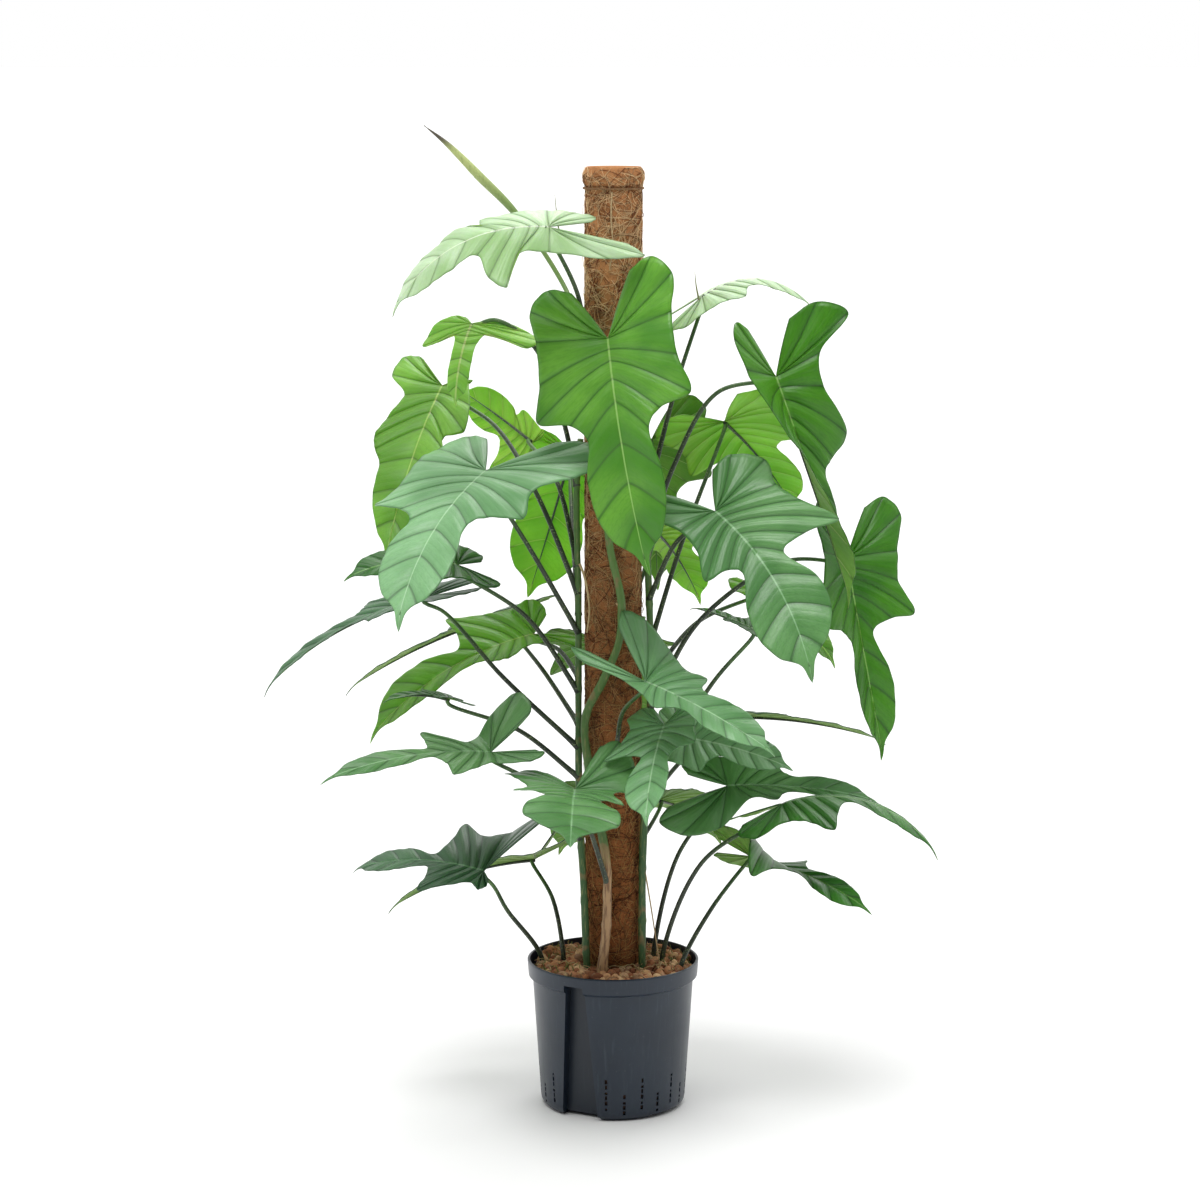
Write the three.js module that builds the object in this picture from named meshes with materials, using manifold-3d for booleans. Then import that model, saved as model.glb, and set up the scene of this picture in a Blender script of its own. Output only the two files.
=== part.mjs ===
// A potted fiddle-leaf philodendron: four stems climb a coir pole in a plastic hydroculture pot.
// Millimetres, +Z up, the front of the plant towards -Y. The origin is the centre of the pot's underside.
import * as THREE from "three";
import { mergeVertices } from "three/addons/utils/BufferGeometryUtils.js";
import Module from "manifold-3d";

const wasm = await Module();
wasm.setup();

// Driving dimensions
const GAP = 0.35; // clearance between pieces that touch
const POT_HEIGHT = 190;
const RIM_RADIUS = 110;
const RIM_BAND = 22;
const BODY_TOP_RADIUS = 103.5;
const BODY_FOOT_RADIUS = 93;
const BASE_RADIUS = 87;
const WALL = 2.4;
const FLOOR_TOP = 7;
const POT_SIDES = 40;
const FOOT_HEIGHT = 4; // the base stands on feet with low arches between them
const SOIL_LEVEL = 181;
const CHANNEL_TURN = THREE.MathUtils.degToRad(-28);
const CHANNEL_TOP = 177;
const CHANNEL_TOP_WIDTH = 26;
const CHANNEL_FOOT_WIDTH = 52;
const CHANNEL_BACK_TOP = 89;
const CHANNEL_BACK_FOOT = 76;
const SLIT_COLUMNS = 23;
const SLIT_SPACING = 14.2; // degrees
const SLIT_WIDTH = 2;
const SHORT_SLIT = 30;
const TALL_SLIT = 46;
const SHORT_SLIT_FOOT = 8;
const TALL_SLIT_FOOT = 14;
const SLIT_START = -5.5; // degrees
const RESTING_PAD = 12; // radius of the flat spot under the middle of the base
const POLE_RADIUS = 35;
const POLE_TOP = 1200;
const POLE_FOOT = FLOOR_TOP + GAP;
const ROLL_RADIUS = 37.5;
const ROLL_HEIGHT = 24;
const PIPE_RADIUS = 25;
const PIPE_BORE = 22;
const STEM_SIDES = 7;
const PETIOLE_SIDES = 4;
const STALK_STEPS = 8;
const NECK_LENGTH = 6; // where a stalk turns to meet its blade from behind
const BLADE_THICKNESS = 1.2;
const STEP_ALONG_VEIN = 2; // mesh steps from the midrib to the edge
const SPEAR_RADIUS = 3; // of the stalk of the rolled new leaf
const SPEAR_SWELL = 3.6; // how much thicker the rolled leaf gets than its stalk
const SPEAR_TIP = 0.6;
const CORD_WIDTH = 2;
const CORD_HEIGHT = 2.4;

const COLOURS = {
  pot: 0x3c444e,
  clay: 0x8a5a44,
  coir: 0x9c6243,
  cord: 0x6b4430,
  pipe: 0x8f9496,
  stem: 0x41632f,
  leaf: 0x4f8a45,
  spear: 0x9dbb72,
};

// Meshes and solids

function toSolid(geometry) {
  const bare = geometry.clone();
  bare.deleteAttribute("normal");
  bare.deleteAttribute("uv");
  const merged = mergeVertices(bare, 1e-3);
  const corners = merged.index.array;
  const kept = [];
  for (let i = 0; i < corners.length; i += 3) {
    const [a, b, c] = [corners[i], corners[i + 1], corners[i + 2]];
    if (a !== b && b !== c && c !== a) kept.push(a, b, c);
  }
  return new wasm.Manifold(
    new wasm.Mesh({
      numProp: 3,
      vertProperties: merged.attributes.position.array,
      triVerts: new Uint32Array(kept),
    }),
  );
}

function toGeometry(solid) {
  const mesh = solid.getMesh();
  const geometry = new THREE.BufferGeometry();
  geometry.setAttribute("position", new THREE.BufferAttribute(mesh.vertProperties, 3));
  geometry.setIndex(new THREE.BufferAttribute(mesh.triVerts, 1));
  geometry.computeVertexNormals();
  return geometry;
}

function lathe(profile, sides) {
  const points = profile.map(([radius, z]) => new THREE.Vector2(radius, z));
  const geometry = new THREE.LatheGeometry(points, sides);
  geometry.rotateX(Math.PI / 2);
  return geometry;
}

function box(width, depth, height) {
  return new THREE.BoxGeometry(width, depth, height);
}

function vector(point) {
  return new THREE.Vector3(...point);
}

// A round tube along a curve. The radius at fraction t of its length is radiusAt(t).
function tube(curve, steps, sides, radiusAt) {
  const section = new THREE.Shape();
  section.absarc(0, 0, 1, 0, 2 * Math.PI, false);
  const outline = new THREE.Shape(section.getSpacedPoints(sides).slice(0, sides));
  const geometry = new THREE.ExtrudeGeometry(outline, {
    steps,
    extrudePath: curve,
    bevelEnabled: false,
  });
  const centres = curve.getSpacedPoints(steps);
  const position = geometry.attributes.position;
  const point = new THREE.Vector3();
  for (let i = 0; i < position.count; i += 1) {
    point.fromBufferAttribute(position, i);
    const distances = centres.map((centre) => Math.abs(centre.distanceTo(point) - 1));
    const ring = distances.indexOf(Math.min(...distances));
    point.sub(centres[ring]).multiplyScalar(radiusAt(ring / steps)).add(centres[ring]);
    position.setXYZ(i, point.x, point.y, point.z);
  }
  return geometry;
}

function smoothCurve(points) {
  return new THREE.CatmullRomCurve3(points.map(vector), false, "centripetal");
}

// Closes an open sheet into a plate: the same triangles on both faces, joined round the border.
function thicken(sheet, thickness) {
  const merged = mergeVertices(sheet, 1e-3);
  const corners = [];
  const index = merged.index.array;
  for (let i = 0; i < index.length; i += 3) {
    const [a, b, c] = [index[i], index[i + 1], index[i + 2]];
    if (a !== b && b !== c && c !== a) corners.push([a, b, c]);
  }
  merged.setIndex(corners.flat());
  merged.computeVertexNormals();
  const middle = merged.attributes.position;
  const normal = merged.attributes.normal;
  const count = middle.count;
  const positions = [];
  for (const side of [0.5, -0.5]) {
    for (let i = 0; i < count; i += 1) {
      const shift = side * thickness;
      positions.push(
        middle.getX(i) + shift * normal.getX(i),
        middle.getY(i) + shift * normal.getY(i),
        middle.getZ(i) + shift * normal.getZ(i),
      );
    }
  }
  const edges = new Map();
  for (const [a, b, c] of corners) {
    for (const [from, to] of [[a, b], [b, c], [c, a]]) edges.set(from + "," + to, [from, to]);
  }
  const faces = [];
  for (const [a, b, c] of corners) faces.push(a, b, c, c + count, b + count, a + count);
  for (const [from, to] of edges.values()) {
    if (edges.has(to + "," + from)) continue;
    faces.push(to, from, from + count, to, from + count, to + count);
  }
  const plate = new THREE.BufferGeometry();
  plate.setAttribute("position", new THREE.Float32BufferAttribute(positions, 3));
  plate.setIndex(faces);
  return plate;
}

const plant = new THREE.Group();

function addPiece(name, solid, colour, roughness = 0.6) {
  const material = new THREE.MeshStandardMaterial({ color: colour, roughness, metalness: 0 });
  const mesh = new THREE.Mesh(toGeometry(solid), material);
  mesh.name = name;
  plant.add(mesh);
}

// Pot

// The recess down the front left wall that takes the water gauge, widened by a margin all round.
function channelSolid(margin) {
  const top = CHANNEL_TOP + margin;
  const foot = -10;
  const outside = RIM_RADIUS + 20;
  const backTop = CHANNEL_BACK_TOP - margin;
  const backFoot = CHANNEL_BACK_FOOT - margin;
  const halfTop = CHANNEL_TOP_WIDTH / 2 + margin;
  const halfFoot = CHANNEL_FOOT_WIDTH / 2 + margin;
  const wedge = box(1, 1, 1);
  const position = wedge.attributes.position;
  for (let i = 0; i < position.count; i += 1) {
    const high = position.getZ(i) > 0;
    const half = high ? halfTop : halfFoot;
    const back = high ? backTop : backFoot;
    const x = Math.sign(position.getX(i)) * half;
    const y = position.getY(i) > 0 ? -back : -outside;
    position.setXYZ(i, x, y, high ? top : foot);
  }
  wedge.rotateZ(CHANNEL_TURN);
  return toSolid(wedge);
}

function potOuter() {
  const bandFoot = POT_HEIGHT - RIM_BAND;
  return toSolid(
    lathe(
      [
        [0, 0],
        [BASE_RADIUS, 0],
        [BODY_FOOT_RADIUS - 1.5, 4],
        [BODY_FOOT_RADIUS, 10],
        [BODY_TOP_RADIUS, bandFoot - 2],
        [RIM_RADIUS - 1.5, bandFoot + 2],
        [RIM_RADIUS, POT_HEIGHT - 2],
        [RIM_RADIUS - 1.2, POT_HEIGHT],
        [0, POT_HEIGHT],
      ],
      POT_SIDES,
    ),
  );
}

// The space inside the pot's walls, drawn in by a margin, up to a given height.
function potInner(margin, top) {
  const foot = FLOOR_TOP + margin;
  const bandFoot = POT_HEIGHT - RIM_BAND;
  const slope = (BODY_TOP_RADIUS - BODY_FOOT_RADIUS) / (bandFoot - 12);
  const wallRadius = (z) => BODY_FOOT_RADIUS + slope * (z - 10) - WALL - margin;
  const bandRadius = RIM_RADIUS - WALL - margin - 1.2;
  const profile = [
    [0, foot],
    [wallRadius(10) - 4, foot],
    [wallRadius(14), foot + 6],
    [wallRadius(bandFoot), bandFoot],
    [bandRadius, bandFoot + 6],
    [bandRadius, top],
    [0, top],
  ];
  return toSolid(lathe(profile, POT_SIDES)).subtract(channelSolid(WALL + margin));
}

function potSlits() {
  const slits = [];
  for (let i = 0; i < SLIT_COLUMNS; i += 1) {
    const tall = i % 2 === 0;
    const height = tall ? TALL_SLIT : SHORT_SLIT;
    const slit = box(SLIT_WIDTH, 14, height);
    slit.translate(0, -BODY_FOOT_RADIUS - 1, (tall ? TALL_SLIT_FOOT : SHORT_SLIT_FOOT) + height / 2);
    slit.rotateZ(THREE.MathUtils.degToRad(SLIT_START + i * SLIT_SPACING));
    slits.push(toSolid(slit));
  }
  return wasm.Manifold.union(slits);
}

// Each arch is the direction of its middle, in degrees from the front, and its width.
function footArches() {
  const arches = [];
  for (const [turn, width] of [[-28, 54], [52, 62], [118, 62], [180, 60], [-100, 62]]) {
    const arch = box(width, 60, 2 * FOOT_HEIGHT);
    arch.translate(0, -BASE_RADIUS, 0);
    arch.rotateZ(THREE.MathUtils.degToRad(turn));
    arches.push(toSolid(arch));
  }
  return wasm.Manifold.union(arches);
}

function makePot() {
  const shell = potOuter().subtract(channelSolid(0)).subtract(potInner(0, POT_HEIGHT + 1));
  const recess = toSolid(lathe([[0, -1], [70, -1], [70, 1], [0, 1]], 32));
  const restingPad = toSolid(lathe([[0, 0], [RESTING_PAD, 0], [RESTING_PAD, 2], [0, 2]], 16));
  return shell.subtract(potSlits()).subtract(footArches()).subtract(recess).add(restingPad);
}

// Pole

function makePoleCoir() {
  const rings = [];
  const bodyTop = POLE_TOP - ROLL_HEIGHT;
  const count = 9;
  for (let i = 0; i <= count; i += 1) {
    const z = POLE_FOOT + ((bodyTop - 4 - POLE_FOOT) * i) / count;
    rings.push([POLE_RADIUS + 0.4 * Math.sin(2.3 * i), z]);
  }
  const roll = [];
  for (let i = 0; i <= 6; i += 1) {
    const angle = -Math.PI / 2 + (Math.PI * i) / 6;
    const across = 5 * Math.cos(angle);
    roll.push([ROLL_RADIUS - 5 + across, bodyTop + ROLL_HEIGHT / 2 + (ROLL_HEIGHT / 2) * Math.sin(angle)]);
  }
  const profile = [[PIPE_RADIUS + GAP, POLE_FOOT], ...rings, ...roll, [0, POLE_TOP - 3]];
  const inner = [[0, POLE_TOP - 12], [PIPE_RADIUS + GAP, POLE_TOP - 12], [PIPE_RADIUS + GAP, POLE_FOOT]];
  return toSolid(lathe([...profile, ...inner], 20));
}

function makePolePipe() {
  const top = POLE_TOP - 12 - GAP;
  const foot = POLE_FOOT;
  return toSolid(
    lathe(
      [[PIPE_BORE, foot], [PIPE_RADIUS, foot], [PIPE_RADIUS, top], [PIPE_BORE, top], [PIPE_BORE, foot]],
      16,
    ),
  );
}

// The cord tied round the pole under its rolled top.
function makePoleTie() {
  const low = POLE_TOP - ROLL_HEIGHT - 2.6 - CORD_HEIGHT / 2;
  const high = low + CORD_HEIGHT;
  const inside = POLE_RADIUS + 0.8;
  const outside = inside + CORD_WIDTH;
  return toSolid(
    lathe(
      [[inside, low], [outside, low], [outside, high], [inside, high], [inside, low]],
      20,
    ),
  );
}

// Stems. Each is a list of points that climbs the pole, with the radius at its foot and at its top.
const STEMS = {
  left: {
    points: [[-28, -36, 110], [-33, -34, 180], [-37, -32, 280], [-43, -22, 400], [-44, -14, 520],
      [-44, -14, 660],
      [-46, -10, 800], [-41, -14, 862]],
    radius: [4.8, 3.8],
    steps: 16,
  },
  front: {
    points: [[-18, -46, 110], [-14, -47, 185], [-8, -46, 250], [-9, -46, 330], [-28, -38, 430],
      [-35, -33, 510],
      [-12, -44, 562], [7, -45, 610], [10, -45, 660], [-5, -45, 735], [-10, -45, 850], [-14, -44, 990]],
    radius: [6, 4.2],
    steps: 28,
  },
  right: {
    points: [[36, -30, 110], [37, -26, 190], [38, -24, 340], [46, -16, 480], [47, -12, 600], [42, -14, 740],
      [38, -20, 880]],
    radius: [5, 4],
    steps: 16,
  },
  back: {
    points: [[12, 44, 110], [10, 45, 300], [-6, 46, 480], [4, 46, 660], [12, 44, 820]],
    radius: [5, 4],
    steps: 15,
  },
};

function stemRadius(stem, t) {
  return THREE.MathUtils.lerp(stem.radius[0], stem.radius[1], t);
}

function stemSolid(name, margin) {
  const stem = STEMS[name];
  return toSolid(
    tube(smoothCurve(stem.points), stem.steps, STEM_SIDES, (t) => stemRadius(stem, t) + margin),
  );
}

function stemPointAt(name, height) {
  const curve = smoothCurve(STEMS[name].points);
  const samples = curve.getSpacedPoints(200);
  return samples.reduce((best, point) =>
    Math.abs(point.z - height) < Math.abs(best.z - height) ? point : best,
  );
}

// Leaf blades. A half outline runs from the lobe beside the sinus to the tip. Each row is where a
// vein leaves the midrib and where it meets the edge: u along the midrib and v out from it, both in
// blade lengths, with the sinus at u = 0 and the tip at u = 1.
const VEIN_STARTS = [0, 0, 0, 0, 0.05, 0.1, 0.18, 0.28, 0.46, 0.63, 0.8, 1];
const OUTLINES = {
  broad: [[-0.26, 0.14], [-0.3, 0.25], [-0.21, 0.34], [-0.04, 0.32], [0.15, 0.33], [0.31, 0.36],
    [0.35, 0.21], [0.42, 0.145], [0.6, 0.175], [0.76, 0.16], [0.9, 0.09], [1, 0]],
  deep: [[-0.22, 0.15], [-0.25, 0.27], [-0.15, 0.37], [0.03, 0.3], [0.17, 0.36], [0.34, 0.46],
    [0.34, 0.26], [0.38, 0.12], [0.58, 0.2], [0.75, 0.2], [0.9, 0.11], [1, 0]],
  narrow: [[-0.26, 0.14], [-0.32, 0.24], [-0.25, 0.31], [-0.06, 0.18], [0.08, 0.17], [0.2, 0.24],
    [0.27, 0.19], [0.36, 0.11], [0.56, 0.155], [0.74, 0.14], [0.89, 0.08], [1, 0]],
  waisted: [[-0.26, 0.14], [-0.3, 0.28], [-0.2, 0.4], [-0.04, 0.22], [0.1, 0.2], [0.32, 0.27], [0.4, 0.16],
    [0.44, 0.09], [0.6, 0.09], [0.76, 0.08], [0.9, 0.05], [1, 0]],
  strap: [[-0.2, 0.1], [-0.24, 0.18], [-0.14, 0.22], [0.03, 0.2], [0.22, 0.26], [0.36, 0.5],
    [0.44, 0.4], [0.44, 0.12], [0.6, 0.13], [0.76, 0.12], [0.9, 0.07], [1, 0]],
  tongue: [[-0.08, 0.12], [-0.1, 0.3], [0, 0.52], [0.18, 0.64], [0.34, 0.58], [0.28, 0.4],
    [0.16, 0.2], [0.24, 0.15], [0.5, 0.14], [0.7, 0.14], [0.88, 0.1], [1, 0]],
  fin: [[-0.08, 0.12], [-0.12, 0.3], [-0.08, 0.5], [0.02, 0.66], [0.17, 0.6], [0.13, 0.36],
    [0.1, 0.18], [0.24, 0.15], [0.5, 0.14], [0.7, 0.14], [0.88, 0.1], [1, 0]],
  club: [[-0.23, 0.03], [-0.36, 0.08], [-0.38, 0.39], [-0.18, 0.37], [0.1, 0.22], [0.34, 0.46],
    [0.36, 0.26], [0.38, 0.12], [0.58, 0.2], [0.75, 0.2], [0.9, 0.11], [1, 0]],
  mitten: [[-0.1, 0.1], [-0.2, 0.19], [-0.2, 0.27], [-0.06, 0.28], [0.07, 0.17], [0.22, 0.21],
    [0.34, 0.23], [0.42, 0.2], [0.5, 0.155], [0.66, 0.145], [0.84, 0.08], [1, 0]],
};
const LOBE_NOTCH = 0.6; // how far the inner edge of a lobe is drawn in towards the midrib

const LEAF_DEFAULTS = {
  via: [],
  face: [0, -1, 0.4],
  arch: 0.06,
  fold: [12, 12],
  twist: 0,
  bend: 0,
  cup: 0.35,
  wave: 0.012,
  width: 1,
  lobes: [1, 1],
  perk: [0, 0],
  spread: [[1, 1, 1], [1, 1, 1]],
  shape: ["broad", "broad"],
  stalk: [3.4, 2.4],
};

// Rows 0 to 3 of an outline are its back lobe, rows 4 to 6 its side lobe and the others its end.
function spreadOfRow(leaf, half, i) {
  const [back, side, end] = leaf.spread[half];
  if (i < 4) return back;
  return i < 7 ? side : end;
}

// The frame of a blade: its length, and unit vectors along it, out of its upper face and to its side.
function bladeFrame(leaf) {
  const base = vector(leaf.at);
  const along = vector(leaf.tip).sub(base);
  const length = along.length();
  along.normalize();
  const out = vector(leaf.face);
  out.addScaledVector(along, -out.dot(along)).normalize();
  const side = new THREE.Vector3().crossVectors(out, along);
  return { base, length, along, out, side };
}

// The point of a blade at u along its midrib and v to its side. The midrib arches and bends, the
// halves fold up from it and cup down to the edge, the edge waves, the blade twists to its tip, and
// its back lobes may perk up.
function bladePoint(leaf, frame, u, v) {
  const rise = u < 0 ? 4 * leaf.arch * u : 4 * leaf.arch * u * (1 - u);
  const sway = u < 0 ? 4 * leaf.bend * u : 4 * leaf.bend * u * (1 - u);
  const roll = THREE.MathUtils.degToRad(leaf.twist) * Math.sin((Math.PI / 2) * Math.max(0, u));
  const slope = 4 * leaf.arch * (u < 0 ? 1 : 1 - 2 * u);
  const normal = frame.out.clone().addScaledVector(frame.along, -slope).normalize();
  const out = normal.clone().multiplyScalar(Math.cos(roll)).addScaledVector(frame.side, Math.sin(roll));
  const side = frame.side.clone().multiplyScalar(Math.cos(roll)).addScaledVector(normal, -Math.sin(roll));
  const half = v < 0 ? 0 : 1;
  const fold = THREE.MathUtils.degToRad(leaf.fold[half]);
  const reach = Math.abs(v) / 0.35;
  const lift =
    Math.abs(v) * Math.sin(fold) +
    leaf.perk[half] * Math.max(0, -u) -
    0.35 * leaf.cup * 0.35 * reach * reach +
    leaf.wave * reach * reach * Math.sin(14 * u + (v < 0 ? 1.9 : 0));
  return frame.base
    .clone()
    .addScaledVector(frame.along, frame.length * u)
    .addScaledVector(frame.out, frame.length * rise)
    .addScaledVector(frame.side, frame.length * sway)
    .addScaledVector(side, frame.length * v * Math.cos(fold))
    .addScaledVector(out, frame.length * lift);
}

// Where vein i of one half is at fraction t of its way to the edge, as u and v of the blade.
function veinPoint(leaf, sign, i, t) {
  const half = sign < 0 ? 0 : 1;
  const start = VEIN_STARTS[i];
  let [u, v] = OUTLINES[leaf.shape[half]][i];
  if (u < 0) u *= leaf.lobes[half];
  v *= leaf.width * spreadOfRow(leaf, half, i);
  const along = start + (u - start) * t;
  const notch = i === 0 ? LOBE_NOTCH + (1 - LOBE_NOTCH) * t : 1;
  return [along, sign * v * t * notch];
}

function bladeSheet(leaf, frame) {
  const positions = [];
  const faces = [];
  const steps = STEP_ALONG_VEIN;
  for (const sign of [1, -1]) {
    const first = positions.length / 3;
    for (let i = 0; i < VEIN_STARTS.length; i += 1) {
      for (let j = 0; j <= steps; j += 1) {
        const [u, v] = veinPoint(leaf, sign, i, j / steps);
        positions.push(...bladePoint(leaf, frame, u, v));
      }
    }
    for (let i = 0; i + 1 < VEIN_STARTS.length; i += 1) {
      for (let j = 0; j < steps; j += 1) {
        const a = first + i * (steps + 1) + j;
        const [b, c, d] = [a + 1, a + steps + 1, a + steps + 2];
        if (sign > 0) faces.push(a, b, d, a, d, c);
        else faces.push(a, d, b, a, c, d);
      }
    }
  }
  const sheet = new THREE.BufferGeometry();
  sheet.setAttribute("position", new THREE.Float32BufferAttribute(positions, 3));
  sheet.setIndex(faces);
  return sheet;
}

// The leaf's stalk runs from the stem's middle, or from under the soil, to the blade beside its sinus.
function stalkCurve(leaf, frame) {
  const foot = Array.isArray(leaf.from) ? leaf.from : stemPointAt(leaf.from, leaf.height).toArray();
  const end = bladePoint(leaf, frame, 0.025, 0);
  const neck = end.clone().addScaledVector(frame.out, -NECK_LENGTH);
  return smoothCurve([foot, ...leaf.via, neck.toArray(), end.toArray()]);
}

function stalkSolid(leaf, frame, margin) {
  const radiusAt = (t) => THREE.MathUtils.lerp(leaf.stalk[0], leaf.stalk[1], t) + margin;
  return toSolid(tube(stalkCurve(leaf, frame), STALK_STEPS, PETIOLE_SIDES, radiusAt));
}

const LEAVES = [];

function addLeaf(settings) {
  const leaf = { ...LEAF_DEFAULTS, ...settings };
  leaf.name = "leaf_" + String(LEAVES.length + 1).padStart(2, "0");
  LEAVES.push(leaf);
}

// Top of the plant: the large front leaf, the arching one at its left, and their neighbours
addLeaf({ from: "front", height: 880, via: [[-12, -72, 960]], at: [-7, -95, 995], tip: [40, -160, 720],
  face: [-0.35, -0.9, 0.2], arch: 0.05, fold: [14, 14], lobes: [0.85, 1] });
addLeaf({ from: "front", height: 905, via: [[-30, -60, 965], [-44, -54, 1045]], at: [-78, -115, 1131],
  tip: [-267, -135, 1034], face: [-0.2, -0.5, 1], arch: 0.17, fold: [6, -25], lobes: [0.9, 1.9], width: 0.8,
  shape: ["broad", "strap"], spread: [[0.8, 0.8, 2], [1.1, 0.95, 1.4]], twist: -20 });
addLeaf({ from: "left", height: 800, via: [[-62, 8, 880], [-100, 24, 975], [-148, 26, 1008]],
  at: [-178, 30, 1003], tip: [-198, 0, 905], face: [-0.25, -0.6, 0.35], arch: 0.1, fold: [-5, -10],
  cup: 0.1, shape: ["tongue", "fin"], spread: [[0.9, 1, 1], [1.4, 1.3, 1]] });
addLeaf({ from: "left", height: 665, via: [[-95, 0, 788], [-150, 75, 868]], at: [-221, 150, 913],
  tip: [-286, -30, 711], face: [-0.35, -0.75, 0.5], arch: 0.05, fold: [4, 4], lobes: [1, 0.1], cup: 0.1,
  spread: [[1, 1, 1], [0.45, 0.6, 1]], shape: ["mitten", "broad"] });
addLeaf({ from: "left", height: 700, via: [[-70, 25, 800]], at: [-104, 105, 844], tip: [-200, 190, 904],
  face: [-0.2, 1, 0.2], arch: 0.05, width: 1.15, lobes: [1, 0.2], spread: [[1, 1, 1], [0.4, 0.45, 0.9]] });
addLeaf({ from: "left", height: 615, via: [[-105, -50, 730]], at: [-157, -85, 831], tip: [-257, -260, 671],
  face: [-0.3, -0.54, 0.78], arch: 0.06, bend: -0.04, fold: [6, 6],
  spread: [[1.3, 1.2, 1.1], [1.4, 1.1, 1.1]] });
addLeaf({ from: "left", height: 640, via: [[-52, 60, 740]], at: [-54, 170, 822], tip: [-110, 195, 634],
  face: [0.2, 1, 0.3], arch: 0.06, width: 1.4, lobes: [0.4, 0.3], spread: [[0.5, 1, 1], [0.7, 1, 1]] });

// Left side, middle height
addLeaf({ from: "left", height: 470, via: [[-140, -15, 560], [-215, 5, 640]], at: [-236, 5, 658],
  tip: [-440, -15, 544], face: [-0.4, 0.2, 1], arch: 0.08, fold: [25, -5], width: 0.6 });
addLeaf({ from: "left", height: 540, via: [[-110, -30, 640]], at: [-194, -50, 708], tip: [-329, -100, 700],
  face: [-0.1, -0.5, 1], arch: 0.1 });
addLeaf({ from: "left", height: 500, via: [[-90, 80, 550]], at: [-142, 200, 604], tip: [-350, 180, 507],
  face: [-0.25, 0.15, 1], arch: 0.04, width: 0.65 });
addLeaf({ from: "left", height: 560, via: [[-70, 40, 585]], at: [-102, 80, 598], tip: [-310, 35, 473],
  face: [-0.3, -0.5, 1], arch: 0.1, shape: ["deep", "narrow"], lobes: [0.5, 0.5], width: 0.8 });
addLeaf({ from: "left", height: 430, via: [[-120, -10, 490]], at: [-207, -20, 532], tip: [-287, -55, 536],
  face: [0, 0, 1], arch: 0.08 });

// Left side, low
addLeaf({ from: "left", height: 350, via: [[-85, -30, 415]], at: [-152, -100, 480], tip: [-350, -200, 468],
  face: [0.1, -0.3, 0.95], arch: 0.06, shape: ["club", "deep"], fold: [6, 6], perk: [1.2, 0.3],
  lobes: [0.55, 1], width: 0.6, spread: [[1.2, 0.8, 0.7], [0.8, 0.9, 0.7]] });
addLeaf({ from: "front", height: 300, via: [[-30, -85, 380]], at: [-48, -125, 438], tip: [-52, -290, 411],
  face: [0, -0.15, 1], arch: 0.06, shape: ["deep", "deep"], fold: [18, 4], perk: [0.2, 1.2],
  lobes: [1, 1.1], spread: [[1.5, 1, 1.8], [1.2, 0.8, 1.7]] });
addLeaf({ from: [-92, 0, 150], via: [[-92, 0, 190], [-135, -30, 260], [-152, -60, 300]],
  at: [-163, -70, 321], tip: [-332, 20, 302], face: [-0.27, -0.3, 0.91], arch: 0.08,
  shape: ["deep", "deep"], fold: [6, 4], perk: [1.2, 0], lobes: [1.3, 0.3],
  spread: [[1.4, 1, 0.6], [0.5, 0.65, 0.55]] });
addLeaf({ from: [-64, 12, 150], via: [[-64, 12, 190], [-78, 30, 260]], at: [-101, 60, 305],
  tip: [-290, 80, 235], face: [-0.2, 0.25, 1], arch: 0.06, width: 0.8, perk: [1.2, 0.3] });

// Front and right, below the middle
addLeaf({ from: "front", height: 400, via: [[2, -58, 470], [12, -92, 530]], at: [39, -130, 575],
  tip: [191, -215, 505], face: [0.5, -0.6, 0.6], arch: 0.06, shape: ["narrow", "broad"], lobes: [1.6, 1.3],
  bend: -0.03, fold: [0, 8], perk: [0.3, 0.6], spread: [[0.6, 0.8, 0.9], [1.2, 0.8, 1]] });
addLeaf({ from: "right", height: 400, via: [[60, -55, 480]], at: [64, -85, 512], tip: [39, -205, 416],
  face: [-0.5, -0.7, 0.6], arch: 0.05, shape: ["deep", "broad"] });
addLeaf({ from: "right", height: 445, via: [[60, 5, 457]], at: [88, 25, 473], tip: [224, -25, 444],
  face: [0.2, -0.8, 0.8], arch: 0.06 });
addLeaf({ from: [53, 16, 150], via: [[53, 16, 195], [85, 30, 320]], at: [146, 20, 411], tip: [340, 60, 383],
  face: [0, -0.75, 0.65], arch: 0.08, lobes: [1.4, 0.9], width: 0.8,
  spread: [[1.3, 0.4, 0.4], [0.8, 0.6, 0.6]] });
addLeaf({ from: [64, -2, 150], via: [[64, -2, 195], [116, -16, 322]], at: [215, -20, 396],
  tip: [408, -60, 343], face: [0.1, 0.2, 1], arch: 0.17, fold: [-25, 5], shape: ["deep", "broad"],
  width: 0.8, spread: [[1, 1, 0.6], [1, 0.8, 0.8]] });
addLeaf({ from: [86, -34, 150], via: [[86, -34, 185], [125, -10, 255]], at: [176, 30, 316],
  tip: [320, -90, 276], face: [0.68, 0.65, 0.33], arch: 0.06, fold: [0, 30], twist: -100,
  shape: ["deep", "broad"], spread: [[0.6, 1.2, 0.5], [0.6, 0.6, 0.45]] });
addLeaf({ from: "right", height: 395, via: [[100, 65, 445]], at: [159, 90, 488], tip: [348, 70, 461],
  face: [0, 0.2, 1], arch: 0.04, width: 0.7 });

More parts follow.
